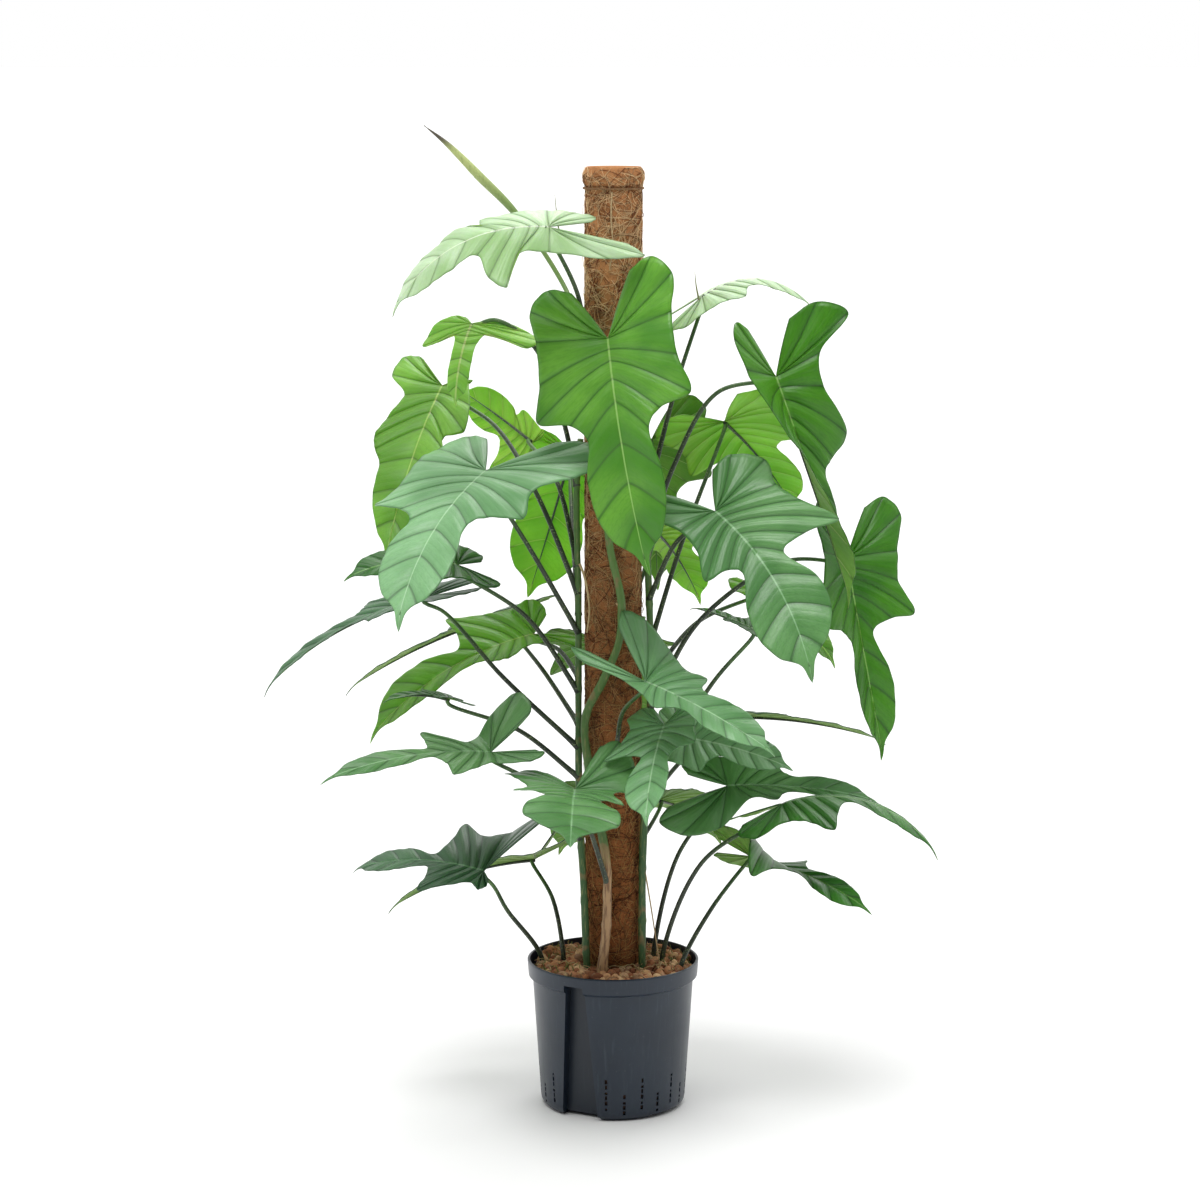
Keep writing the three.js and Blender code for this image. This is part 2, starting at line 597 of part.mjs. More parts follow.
// Right side, high
addLeaf({ from: "right", height: 660, via: [[80, -60, 740]], at: [124, -125, 786], tip: [236, -245, 605],
  face: [-0.05, -0.86, 0.5], arch: 0.05, bend: 0.07, fold: [10, 8], shape: ["deep", "deep"],
  spread: [[0.75, 0.65, 1], [1.1, 1, 1]] });
addLeaf({ from: "right", height: 720, via: [[75, -35, 830], [130, -50, 925]], at: [200, -60, 945],
  tip: [295, -75, 668], face: [-0.05, -0.97, 0.2], arch: 0.06, twist: 60, fold: [60, 5],
  shape: ["broad", "waisted"], lobes: [0.8, 0.8], spread: [[0.7, 0.7, 1], [0.95, 0.9, 1]] });
addLeaf({ from: "right", height: 780, via: [[80, 10, 930]], at: [111, 30, 1037], tip: [252, 60, 1022],
  face: [0, -0.15, 1], arch: 0.2, fold: [-22, -10], width: 0.6 });
addLeaf({ from: "right", height: 600, via: [[85, 20, 720]], at: [142, 80, 874], tip: [238, 165, 750],
  face: [0.3, 0.85, 0.4], arch: 0.06, fold: [-5, -5], width: 1.3, lobes: [1.3, 1],
  spread: [[1.8, 1, 1], [1, 1, 1]] });
addLeaf({ from: "right", height: 520, via: [[110, 0, 630], [220, 5, 705]], at: [295, 10, 708],
  tip: [342, -20, 460], face: [0.55, -0.83, 0.1], arch: 0.05, bend: -0.04, shape: ["broad", "deep"],
  fold: [28, 20], spread: [[0.7, 0.85, 0.75], [0.95, 0.72, 0.6]] });
addLeaf({ from: "back", height: 560, via: [[30, 80, 650]], at: [55, 110, 730], tip: [116, 215, 621],
  face: [0.3, 1, 0.7], arch: 0.06 });
addLeaf({ from: "right", height: 420, via: [[129, -10, 555]], at: [180, -30, 621], tip: [102, 60, 636],
  face: [0, 0.15, 1], arch: 0.03, width: 0.6 });
addLeaf({ from: "right", height: 560, via: [[110, 50, 620]], at: [195, 90, 655], tip: [286, 70, 560],
  face: [0.3, -0.5, 1], arch: 0.06 });

// Back of the pole
addLeaf({ from: "back", height: 700, via: [[25, 95, 790]], at: [50, 150, 843], tip: [60, 225, 640],
  face: [0, 1, 0.3], arch: 0.06, lobes: [1, 0.6], spread: [[1, 1, 1], [0.6, 1, 1]] });
addLeaf({ from: "back", height: 440, via: [[-10, 90, 510]], at: [-17, 140, 580], tip: [38, 270, 447],
  face: [0, 1, 0.7], arch: 0.06, shape: ["deep", "deep"] });
addLeaf({ from: "back", height: 260, via: [[0, 90, 320]], at: [-17, 120, 370], tip: [-71, 260, 269],
  face: [0, 1, 0.8], arch: 0.06 });
addLeaf({ from: "back", height: 300, via: [[40, 80, 330]], at: [62, 130, 368], tip: [146, 260, 283],
  face: [0.3, 1, 0.8], arch: 0.06 });

// The new leaf at the top left, still rolled
function spearSolid() {
  const curve = smoothCurve([[-13, -44, 962], [-42, -26, 1002], [-60, 15, 1048], [-121, 45, 1138],
    [-169, 55, 1187], [-210, 62, 1227], [-238, 66, 1249]]);
  const radiusAt = (t) => {
    const swell = t < 0.5 ? 0 : SPEAR_SWELL * Math.sin(Math.PI * Math.min(1, (t - 0.5) * 1.6));
    return Math.max(SPEAR_TIP, (SPEAR_RADIUS + swell) * (1.02 - t ** 8));
  };
  return toSolid(tube(curve, 18, 6, radiusAt));
}

// Clay granules heaped in the pot, level a little below its rim

function makeSubstrate(stalkHoles) {
  let bed = potInner(GAP, SOIL_LEVEL);
  const granules = [];
  const golden = Math.PI * (3 - Math.sqrt(5));
  const count = 26;
  for (let i = 0; i < count; i += 1) {
    const radius = 40 + 52 * Math.sqrt((i + 0.5) / count);
    const angle = i * golden;
    const size = 8 + 2 * Math.sin(i * 2.7);
    const granule = new THREE.IcosahedronGeometry(size, 0);
    granule.rotateX(i);
    granule.rotateY(1.7 * i);
    granule.translate(radius * Math.cos(angle), radius * Math.sin(angle), SOIL_LEVEL - 0.25 * size);
    granules.push(toSolid(granule));
  }
  bed = bed.add(wasm.Manifold.union(granules).intersect(potInner(GAP, POT_HEIGHT)));
  const holeRadius = POLE_RADIUS + 0.4 + GAP;
  const poleHole = toSolid(lathe([[0, 0], [holeRadius, 0], [holeRadius, 230], [0, 230]], 20));
  return bed.subtract(poleHole).subtract(wasm.Manifold.union(stalkHoles));
}

// Assembly

const stemNames = Object.keys(STEMS);
const stemHoles = new Map(stemNames.map((name) => [name, stemSolid(name, GAP)]));
const soilHoles = [...stemHoles.values()];
const bodies = [];
for (const leaf of LEAVES) {
  const frame = bladeFrame(leaf);
  let body = toSolid(thicken(bladeSheet(leaf, frame), BLADE_THICKNESS)).add(stalkSolid(leaf, frame, 0));
  if (Array.isArray(leaf.from)) soilHoles.push(stalkSolid(leaf, frame, GAP));
  else body = body.subtract(stemHoles.get(leaf.from));
  bodies.push([leaf.name, body]);
}

addPiece("pot", makePot(), COLOURS.pot, 0.5);
addPiece("substrate", makeSubstrate(soilHoles), COLOURS.clay, 0.95);
addPiece("pole_coir", makePoleCoir(), COLOURS.coir, 1);
addPiece("pole_pipe", makePolePipe(), COLOURS.pipe, 0.5);
addPiece("pole_tie", makePoleTie(), COLOURS.cord, 0.9);
for (const name of stemNames) addPiece("stem_" + name, stemSolid(name, 0), COLOURS.stem);
for (const [name, body] of bodies) addPiece(name, body, COLOURS.leaf, 0.4);
addPiece("new_leaf", spearSolid().subtract(stemHoles.get("front")), COLOURS.spear, 0.5);

export default plant;
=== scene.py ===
"""Looks for a potted fiddle-leaf philodendron on a coir pole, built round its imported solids.

Leaf, stem and pot dimensions are in millimetres, as in the part's source, and MM turns them into metres.
"""

import math

import bmesh
import bpy
import numpy as np
from mathutils import Euler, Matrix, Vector

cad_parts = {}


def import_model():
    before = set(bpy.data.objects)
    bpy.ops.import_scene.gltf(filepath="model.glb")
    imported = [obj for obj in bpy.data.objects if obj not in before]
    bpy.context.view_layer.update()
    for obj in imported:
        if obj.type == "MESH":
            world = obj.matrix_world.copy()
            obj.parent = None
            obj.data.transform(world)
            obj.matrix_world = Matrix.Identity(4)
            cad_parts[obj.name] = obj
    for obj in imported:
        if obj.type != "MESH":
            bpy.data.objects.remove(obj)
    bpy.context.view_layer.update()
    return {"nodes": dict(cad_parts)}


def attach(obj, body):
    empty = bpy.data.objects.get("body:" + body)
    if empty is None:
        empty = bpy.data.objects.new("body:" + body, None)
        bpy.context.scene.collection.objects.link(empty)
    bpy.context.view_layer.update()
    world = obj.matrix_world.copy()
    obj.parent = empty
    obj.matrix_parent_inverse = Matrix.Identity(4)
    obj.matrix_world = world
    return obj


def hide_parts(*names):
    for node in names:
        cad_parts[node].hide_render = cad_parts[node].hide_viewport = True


MM = 0.001
PHOTO_SIDE = 1200  # pixels, width and height

# Camera
CAMERA_PLACE = (-0.0167, -4.2, 1.339)
CAMERA_PITCH = 9.24  # degrees below level
FOCAL_PIXELS = 3364
SENSOR_WIDTH = 36

# Pot, as in the part's source
POT_HEIGHT = 190
RIM_RADIUS = 110
RIM_BAND = 22
BODY_TOP_RADIUS = 103.5
BODY_FOOT_RADIUS = 93
BASE_RADIUS = 87
WALL = 2.4
FLOOR_TOP = 7
POT_SIDES = 192
FOOT_HEIGHT = 4
SOIL_LEVEL = 181
CHANNEL_TURN = -28  # degrees
CHANNEL_TOP = 177
CHANNEL_TOP_WIDTH = 26
CHANNEL_FOOT_WIDTH = 52
CHANNEL_BACK_TOP = 89
CHANNEL_BACK_FOOT = 76
SLIT_COLUMNS = 23
SLIT_SPACING = 14.2  # degrees
SLIT_START = -5.5  # degrees
SLIT_PITCH = 7.2  # from one opening of a column to the next
SLIT_OPENINGS = (3.4, 5.6)  # heights of the small and the large ones
SLIT_HALF_WIDTHS = (1.3, 1.8)
SLIT_REACH_OUT = 9  # how far the cutter stands out of the wall's foot
SLIT_REACH_IN = 8
TALL_COLUMN = (14, 46)  # foot over the floor, and height
SHORT_COLUMN = (8, 30)
ARCH_REACH = 30
FOOT_ARCHES = ((-28, 54), (52, 62), (118, 62), (180, 60), (-100, 62))  # direction in degrees, width

# Pole
POLE_RADIUS = 35
POLE_TOP = 1200
ROLL_RADIUS = 37.5
ROLL_HEIGHT = 24

# Leaves, as in the part's source: an outline gives u along the blade and v beside it, row by row
VEIN_STARTS = (0, 0, 0, 0, 0.05, 0.1, 0.18, 0.28, 0.46, 0.63, 0.8, 1)
OUTLINES = {
    "broad": [[-0.26, 0.14], [-0.3, 0.25], [-0.21, 0.34], [-0.04, 0.32], [0.15, 0.33], [0.31, 0.36],
        [0.35, 0.21], [0.42, 0.145], [0.6, 0.175], [0.76, 0.16], [0.9, 0.09], [1, 0]],
    "deep": [[-0.22, 0.15], [-0.25, 0.27], [-0.15, 0.37], [0.03, 0.3], [0.17, 0.36], [0.34, 0.46],
        [0.34, 0.26], [0.38, 0.12], [0.58, 0.2], [0.75, 0.2], [0.9, 0.11], [1, 0]],
    "narrow": [[-0.26, 0.14], [-0.32, 0.24], [-0.25, 0.31], [-0.06, 0.18], [0.08, 0.17], [0.2, 0.24],
        [0.27, 0.19], [0.36, 0.11], [0.56, 0.155], [0.74, 0.14], [0.89, 0.08], [1, 0]],
    "waisted": [[-0.26, 0.14], [-0.3, 0.28], [-0.2, 0.4], [-0.04, 0.22], [0.1, 0.2], [0.32, 0.27],
        [0.4, 0.16], [0.44, 0.09], [0.6, 0.09], [0.76, 0.08], [0.9, 0.05], [1, 0]],
    "strap": [[-0.2, 0.1], [-0.24, 0.18], [-0.14, 0.22], [0.03, 0.2], [0.22, 0.26], [0.36, 0.5],
        [0.44, 0.4], [0.44, 0.12], [0.6, 0.13], [0.76, 0.12], [0.9, 0.07], [1, 0]],
    "tongue": [[-0.08, 0.12], [-0.1, 0.3], [0, 0.52], [0.18, 0.64], [0.34, 0.58], [0.28, 0.4],
        [0.16, 0.2], [0.24, 0.15], [0.5, 0.14], [0.7, 0.14], [0.88, 0.1], [1, 0]],
    "fin": [[-0.08, 0.12], [-0.12, 0.3], [-0.08, 0.5], [0.02, 0.66], [0.17, 0.6], [0.13, 0.36],
        [0.1, 0.18], [0.24, 0.15], [0.5, 0.14], [0.7, 0.14], [0.88, 0.1], [1, 0]],
    "club": [[-0.23, 0.03], [-0.36, 0.08], [-0.38, 0.39], [-0.18, 0.37], [0.1, 0.22], [0.34, 0.46],
        [0.36, 0.26], [0.38, 0.12], [0.58, 0.2], [0.75, 0.2], [0.9, 0.11], [1, 0]],
    "mitten": [[-0.1, 0.1], [-0.2, 0.19], [-0.2, 0.27], [-0.06, 0.28], [0.07, 0.17], [0.22, 0.21],
        [0.34, 0.23], [0.42, 0.2], [0.5, 0.155], [0.66, 0.145], [0.84, 0.08], [1, 0]],
}
LOBE_NOTCH = 0.6
NECK_LENGTH = 6
CUP_REACH = 0.35  # the width, in lengths of the blade, at which its cup is measured
WAVES = 14  # of the wavy edge, in radians along the blade
BLADE_THICKNESS = 0.9
LAST_ROW = len(VEIN_STARTS) - 1
STEPS_PER_ROW = 12
STEPS_ACROSS = 13
VEIN_SWEEP = 1.22  # above 1, a vein leaves the midrib more squarely and turns to the tip
QUILT_HEIGHT = 0.006  # of the blade's length, how far the blade swells between veins
RIPPLE_HEIGHT = 0.003
DRIP_START = 0.87  # where a blade's end begins to narrow to its drip tip, along the blade
DRIP_LENGTH = 0.035  # of the blade's length, past the end of its outline
DRIP_HOOK = 0.012  # of the blade's length, how far the drip tip bends back at u = 1

# What a leaf has where its row says nothing else
LEAF_DEFAULTS = {
    "arch": 0.06,
    "fold": (12, 12),
    "twist": 0,
    "bend": 0,
    "cup": 0.35,
    "wave": 0.012,
    "width": 1,
    "lobes": (1, 1),
    "perk": (0, 0),
    "spread": ((1, 1, 1), (1, 1, 1)),
    "shape": ("broad", "broad"),
    "stalk": (3.4, 2.4),
}

# Stems: the points that each one climbs through, and its radius at foot and top
STEMS = {
    "left": {
        "points": [[-28, -36, 110], [-33, -34, 180], [-37, -32, 280], [-43, -22, 400], [-44, -14, 520],
            [-44, -14, 660], [-46, -10, 800], [-41, -14, 862]],
        "radius": [4.8, 3.8],
    },
    "front": {
        "points": [[-18, -46, 110], [-14, -47, 185], [-8, -46, 250], [-9, -46, 330], [-28, -38, 430],
            [-35, -33, 510], [-12, -44, 562], [7, -45, 610], [10, -45, 660], [-5, -45, 735],
            [-10, -45, 850], [-14, -44, 990]],
        "radius": [6, 4.2],
    },
    "right": {
        "points": [[36, -30, 110], [37, -26, 190], [38, -24, 340], [46, -16, 480], [47, -12, 600],
            [42, -14, 740], [38, -20, 880]],
        "radius": [5, 4],
    },
    "back": {
        "points": [[12, 44, 110], [10, 45, 300], [-6, 46, 480], [4, 46, 660], [12, 44, 820]],
        "radius": [5, 4],
    },
}


def one_leaf(tone, start, height, via, at, tip, face, **more):
    """A row of the table of leaves.

    Start is the stem that the stalk leaves at a height, or the stalk's own foot. Via is how the stalk bends,
    at the joint of stalk and blade, tip the blade's end, and face the way that its upper side looks.
    """
    given = dict(tone=tone, start=start, height=height, via=via, at=at, tip=tip, face=face)
    return {**LEAF_DEFAULTS, **given, **more}


LEAVES = [
    # Top of the plant: the large front leaf, the arching one at its left, and their neighbours
    one_leaf("fresh", "front", 880, [[-12, -72, 960]], [-7, -95, 995], [40, -160, 720], [-0.35, -0.9, 0.2],
        arch=0.05, fold=[14, 14], lobes=[0.85, 1]),
    one_leaf("pale", "front", 905, [[-30, -60, 965], [-44, -54, 1045]], [-78, -115, 1131],
        [-267, -135, 1034], [-0.2, -0.5, 1], arch=0.17, fold=[6, -25], lobes=[0.9, 1.9], width=0.8,
        shape=["broad", "strap"], spread=[[0.8, 0.8, 2], [1.1, 0.95, 1.4]], twist=-20),
    one_leaf("glow", "left", 800, [[-62, 8, 880], [-100, 24, 975], [-148, 26, 1008]], [-178, 30, 1003],
        [-198, 0, 905], [-0.25, -0.6, 0.35], arch=0.1, fold=[-5, -10], cup=0.1,
        shape=["tongue", "fin"], spread=[[0.9, 1, 1], [1.4, 1.3, 1]]),
    one_leaf("lit", "left", 665, [[-95, 0, 788], [-150, 75, 868]], [-221, 150, 913], [-286, -30, 711],
        [-0.35, -0.75, 0.5], arch=0.05, fold=[4, 4], lobes=[1, 0.1], cup=0.1,
        spread=[[1, 1, 1], [0.45, 0.6, 1]], shape=["mitten", "broad"]),
    one_leaf("lit", "left", 700, [[-70, 25, 800]], [-104, 105, 844], [-200, 190, 904], [-0.2, 1, 0.2],
        arch=0.05, width=1.15, lobes=[1, 0.2], spread=[[1, 1, 1], [0.4, 0.45, 0.9]]),
    one_leaf("mist", "left", 615, [[-105, -50, 730]], [-157, -85, 831], [-257, -260, 671],
        [-0.3, -0.54, 0.78], arch=0.06, bend=-0.04, fold=[6, 6],
        spread=[[1.3, 1.2, 1.1], [1.4, 1.1, 1.1]]),
    one_leaf("lit", "left", 640, [[-52, 60, 740]], [-54, 170, 822], [-110, 195, 634], [0.2, 1, 0.3],
        arch=0.06, width=1.4, lobes=[0.4, 0.3], spread=[[0.5, 1, 1], [0.7, 1, 1]]),
    # Left side, middle height
    one_leaf("deep", "left", 470, [[-140, -15, 560], [-215, 5, 640]], [-236, 5, 658], [-440, -15, 544],
        [-0.4, 0.2, 1], arch=0.08, fold=[25, -5], width=0.6),
    one_leaf("green", "left", 540, [[-110, -30, 640]], [-194, -50, 708], [-329, -100, 700], [-0.1, -0.5, 1],
        arch=0.1),
    one_leaf("deep", "left", 500, [[-90, 80, 550]], [-142, 200, 604], [-350, 180, 507], [-0.25, 0.15, 1],
        arch=0.04, width=0.65),
    one_leaf("lit", "left", 560, [[-70, 40, 585]], [-102, 80, 598], [-310, 35, 473], [-0.3, -0.5, 1],
        arch=0.1, shape=["deep", "narrow"], lobes=[0.5, 0.5], width=0.8),
    one_leaf("green", "left", 430, [[-120, -10, 490]], [-207, -20, 532], [-287, -55, 536], [0, 0, 1],
        arch=0.08),
    # Left side, low
    one_leaf("blue", "left", 350, [[-85, -30, 415]], [-152, -100, 480], [-350, -200, 468],
        [0.1, -0.3, 0.95], arch=0.06, shape=["club", "deep"], fold=[6, 6], perk=[1.2, 0.3],
        lobes=[0.55, 1], width=0.6, spread=[[1.2, 0.8, 0.7], [0.8, 0.9, 0.7]]),
    one_leaf("blue", "front", 300, [[-30, -85, 380]], [-48, -125, 438], [-52, -290, 411], [0, -0.15, 1],
        arch=0.06, shape=["deep", "deep"], fold=[18, 4], perk=[0.2, 1.2], lobes=[1, 1.1],
        spread=[[1.5, 1, 1.8], [1.2, 0.8, 1.7]]),
    one_leaf("deep", [-92, 0, 150], None, [[-92, 0, 190], [-135, -30, 260], [-152, -60, 300]],
        [-163, -70, 321], [-332, 20, 302], [-0.27, -0.3, 0.91], arch=0.08, shape=["deep", "deep"],
        fold=[6, 4], perk=[1.2, 0], lobes=[1.3, 0.3], spread=[[1.4, 1, 0.6], [0.5, 0.65, 0.55]]),
    one_leaf("deep", [-64, 12, 150], None, [[-64, 12, 190], [-78, 30, 260]], [-101, 60, 305],
        [-290, 80, 235], [-0.2, 0.25, 1], arch=0.06, width=0.8, perk=[1.2, 0.3]),
    # Front and right, below the middle
    one_leaf("mist", "front", 400, [[2, -58, 470], [12, -92, 530]], [39, -130, 575], [191, -215, 505],
        [0.5, -0.6, 0.6], arch=0.06, shape=["narrow", "broad"], lobes=[1.6, 1.3], bend=-0.03,
        fold=[0, 8], perk=[0.3, 0.6], spread=[[0.6, 0.8, 0.9], [1.2, 0.8, 1]]),
    one_leaf("mist", "right", 400, [[60, -55, 480]], [64, -85, 512], [39, -205, 416], [-0.5, -0.7, 0.6],
        arch=0.05, shape=["deep", "broad"]),
    one_leaf("mist", "right", 445, [[60, 5, 457]], [88, 25, 473], [224, -25, 444], [0.2, -0.8, 0.8],
        arch=0.06),
    one_leaf("blue", [53, 16, 150], None, [[53, 16, 195], [85, 30, 320]], [146, 20, 411], [340, 60, 383],
        [0, -0.75, 0.65], arch=0.08, lobes=[1.4, 0.9], width=0.8,
        spread=[[1.3, 0.4, 0.4], [0.8, 0.6, 0.6]]),
    one_leaf("green", [64, -2, 150], None, [[64, -2, 195], [116, -16, 322]], [215, -20, 396],
        [408, -60, 343], [0.1, 0.2, 1], arch=0.17, fold=[-25, 5], shape=["deep", "broad"], width=0.8,
        spread=[[1, 1, 0.6], [1, 0.8, 0.8]]),
    one_leaf("green", [86, -34, 150], None, [[86, -34, 185], [125, -10, 255]], [176, 30, 316],
        [320, -90, 276], [0.68, 0.65, 0.33], arch=0.06, fold=[0, 30], twist=-100,
        shape=["deep", "broad"], spread=[[0.6, 1.2, 0.5], [0.6, 0.6, 0.45]]),
    one_leaf("deep", "right", 395, [[100, 65, 445]], [159, 90, 488], [348, 70, 461], [0, 0.2, 1], arch=0.04,
        width=0.7),
    # Right side, high
    one_leaf("blue", "right", 660, [[80, -60, 740]], [124, -125, 786], [236, -245, 605],
        [-0.05, -0.86, 0.5], arch=0.05, bend=0.07, fold=[10, 8], shape=["deep", "deep"],
        spread=[[0.75, 0.65, 1], [1.1, 1, 1]]),
    one_leaf("bright", "right", 720, [[75, -35, 830], [130, -50, 925]], [200, -60, 945], [295, -75, 668],
        [-0.05, -0.97, 0.2], arch=0.06, twist=60, fold=[60, 5], shape=["broad", "waisted"],
        lobes=[0.8, 0.8], spread=[[0.7, 0.7, 1], [0.95, 0.9, 1]]),
    one_leaf("pale", "right", 780, [[80, 10, 930]], [111, 30, 1037], [252, 60, 1022], [0, -0.15, 1],
        arch=0.2, fold=[-22, -10], width=0.6),
    one_leaf("glow", "right", 600, [[85, 20, 720]], [142, 80, 874], [238, 165, 750], [0.3, 0.85, 0.4],
        arch=0.06, fold=[-5, -5], width=1.3, lobes=[1.3, 1], spread=[[1.8, 1, 1], [1, 1, 1]]),
    one_leaf("bright", "right", 520, [[110, 0, 630], [220, 5, 705]], [295, 10, 708], [342, -20, 460],
        [0.55, -0.83, 0.1], arch=0.05, bend=-0.04, shape=["broad", "deep"], fold=[28, 20],
        spread=[[0.7, 0.85, 0.75], [0.95, 0.72, 0.6]]),
    one_leaf("lit", "back", 560, [[30, 80, 650]], [55, 110, 730], [116, 215, 621], [0.3, 1, 0.7],
        arch=0.06),
    one_leaf("green", "right", 420, [[129, -10, 555]], [180, -30, 621], [102, 60, 636], [0, 0.15, 1],
        arch=0.03, width=0.6),
    one_leaf("lit", "right", 560, [[110, 50, 620]], [195, 90, 655], [286, 70, 560], [0.3, -0.5, 1],
        arch=0.06),
    # Back of the pole
    one_leaf("green", "back", 700, [[25, 95, 790]], [50, 150, 843], [60, 225, 640], [0, 1, 0.3], arch=0.06,
        lobes=[1, 0.6], spread=[[1, 1, 1], [0.6, 1, 1]]),
    one_leaf("green", "back", 440, [[-10, 90, 510]], [-17, 140, 580], [38, 270, 447], [0, 1, 0.7],
        arch=0.06, shape=["deep", "deep"]),
    one_leaf("green", "back", 260, [[0, 90, 320]], [-17, 120, 370], [-71, 260, 269], [0, 1, 0.8],
        arch=0.06),
    one_leaf("green", "back", 300, [[40, 80, 330]], [62, 130, 368], [146, 260, 283], [0.3, 1, 0.8],
        arch=0.06),
]

# Growth along the stems
NODE_SPACING = 68  # along a stem, from one ring to the next
RING_SWELL = 0.16  # of the stem's radius
WOODY_FOOT = 180  # the height round which the front stem's foot flares
SPEAR = [[-13, -44, 962], [-42, -26, 1002], [-60, 15, 1048], [-121, 45, 1138],
         [-169, 55, 1187], [-210, 62, 1227], [-238, 66, 1249]]
SPEAR_SIDES = 28
SPEAR_STALK = 3  # radius of its stalk
SPEAR_SWELL = 3.6  # how much thicker it gets than that
SPEAR_TIP = 0.6
SHEATH_TIPS = (
    ((-60, -56, 1095), (-68, -58, 1130), (-72, -60, 1168)),
    ((108, 27, 1030), (104, 26, 1050), (102, 25, 1068)),
)
# Each root: its points and its radius
AERIAL_ROOTS = (
    (((-2, -36, 1170), (-3, -36.5, 1140), (-1, -36, 1100), (-5, -36.5, 1075)), 1.2),
    (((-42, -22, 705), (-36, -34, 690), (-30, -36, 650), (-33, -35, 620)), 1.6),
    (((-14, -50, 330), (-11, -47, 310), (-12, -44, 280), (-9, -42, 255)), 1.8),
    (((4, -47, 660), (14, -40, 640), (20, -34, 610)), 1.4),
    (((-30, -42, 440), (-20, -42, 415), (-12, -40, 395)), 1.3),
    (((44, -20, 520), (40, -12, 495), (37, -4, 470)), 1.3),
    (((37, -28, 330), (44, -24, 290), (52, -30, 240), (60, -40, 186)), 1.2),
    (((8, 48, 500), (18, 40, 470), (26, 30, 440)), 1.4),
    (((-6, 48, 380), (-18, 42, 350), (-26, 34, 320)), 1.4),
    (((10, 48, 240), (22, 56, 210), (34, 66, 186)), 1.3),
)
LOOSE_ROOTS = 46  # thin roots over the granules
ROOT_STEP = 6.5
ROOT_ROOM = (38, 101)  # how near to the pole's axis they come, and how far from it

# Colours of leaves
# Each tone: how much of the light on a leaf goes into it, and for the upper side and the underside the
# main colour, the dark colour and the rib
# Part of the tones is painted light. Lit and glow are lighter yellow greens that paint light shining through
# the blade from behind, over the share that really goes through it. The upper side of pale paints a whitish
# sheen, and that of mist a pale bluish sheen.
TONES = {
    "fresh": (0.25, ((108, 164, 58), (68, 126, 36), (158, 204, 112)),
        ((120, 162, 74), (88, 132, 50), (174, 200, 120))),
    "bright": (0.25, ((70, 128, 26), (42, 96, 16), (140, 188, 98)),
        ((120, 162, 74), (88, 132, 50), (174, 200, 120))),
    "glow": (0.6, ((140, 182, 84), (110, 156, 58), (180, 210, 124)),
        ((152, 192, 80), (120, 164, 56), (184, 210, 112))),
    "lit": (0.6, ((112, 158, 54), (86, 130, 38), (160, 196, 100)),
        ((148, 190, 68), (114, 160, 46), (178, 206, 100))),
    "pale": (0.2, ((190, 214, 178), (142, 178, 118), (214, 230, 196)),
        ((142, 178, 94), (108, 150, 66), (190, 210, 146))),
    "mist": (0.1, ((124, 172, 120), (92, 142, 88), (164, 204, 158)),
        ((124, 164, 94), (94, 136, 70), (180, 206, 140))),
    "blue": (0.1, ((104, 152, 92), (70, 120, 62), (140, 186, 134)),
        ((116, 156, 88), (86, 126, 64), (174, 200, 132))),
    "deep": (0.08, ((62, 106, 64), (42, 84, 48), (104, 150, 104)),
        ((134, 166, 92), (98, 136, 64), (176, 198, 132))),
    "green": (0.22, ((64, 122, 44), (42, 94, 30), (122, 170, 92)),
        ((120, 156, 70), (88, 128, 48), (170, 194, 116))),
}
# The furrow colour is painted shade in the groove of each side vein. The same colour also darkens the
# blade's margin.
FURROW_SHARE = 0.72  # of the dark colour, in the furrow of each side vein
LIGHT_THROUGH = (0.55, 1.0, 0.2)  # how far each colour of light goes inside a leaf
FINE_VEINS = 4  # fine veins to each side vein
RIB_WIDTH = 0.0016  # metres, half the width of the midrib at the joint
RIB_TAPER = 0.0035  # how much it loses in each metre along the blade
RIB_TIP_WIDTH = 0.0005
LOW_SHARE = (0.74, 0.66, 0.55)  # of each display colour of the coir, low on the pole

# Filling of the pot
GRANULE_SPACING = 10.6
GRANULE_SIZES = (4.2, 7.4)  # least and greatest radius
# Browns of the fired clay and the share of granules up to each
CLAY_COLOURS = (
    (0.0, (116, 72, 50)), (0.35, (176, 116, 82)), (0.62, (204, 148, 108)), (0.82, (230, 188, 144)),
    (1.0, (138, 98, 78)),
)
RIM_ROOM = 5.5  # what lies loose keeps this far from the rim's outside
BED_GAP = 0.6  # between the bed and the wall
BED_SIDES = 96
# Tufts of moss: where they gather, how widely, in radians, and how many blades
MOSS_TUFTS = ((2.3, 0.5, 120), (0.6, 0.5, 110), (1.5, 0.7, 90), (3.6, 0.25, 40))

# Finish of the pole
POLE_SIDES = 120
POLE_RINGS = 330
ROLL_RINGS = 26
FIBRES = 5200
FIBRE_POINTS = 6
FIBRE_LENGTHS = (18, 58)
FIBRE_FOOT = 172  # no fibre reaches below this height
CORD_DROP = 2.6  # the cord's middle, under the rolled top
CORD_OUT = 1.9  # and past the sleeve
CORD_LAY = 0.75  # radius on which its strands wind
CORD_TURNS = 46
STRAND_RADIUS = 0.85

# Stage
SKY_SIDE = (0, 0.8, 0.6)  # the way to the brightest part of the sky
FRONT_LIGHT = 0.12
BACK_LIGHT = 1.0
FLOOR_RADIUS = 300  # metres, so that its edge lies close to the skyline
FLOOR_FACES = (-4, -0.5)  # heights of its underside and of its top, a little under the pot
FLOOR_SIDES = 96
# Each lamp: where it shines from, how wide it looks in degrees, and its strength
SUNS = (
    ("key", (-0.45, -0.9, 3.4), 32, 2.0),
    ("back", (0.7, 2.2, 2.8), 40, 1.1),
)

# Corners of a box by x, y and z, low before high
BOX_FACES = [[0, 1, 3, 2], [4, 6, 7, 5], [0, 4, 5, 1], [2, 3, 7, 6], [0, 2, 6, 4], [1, 5, 7, 3]]


# Materials


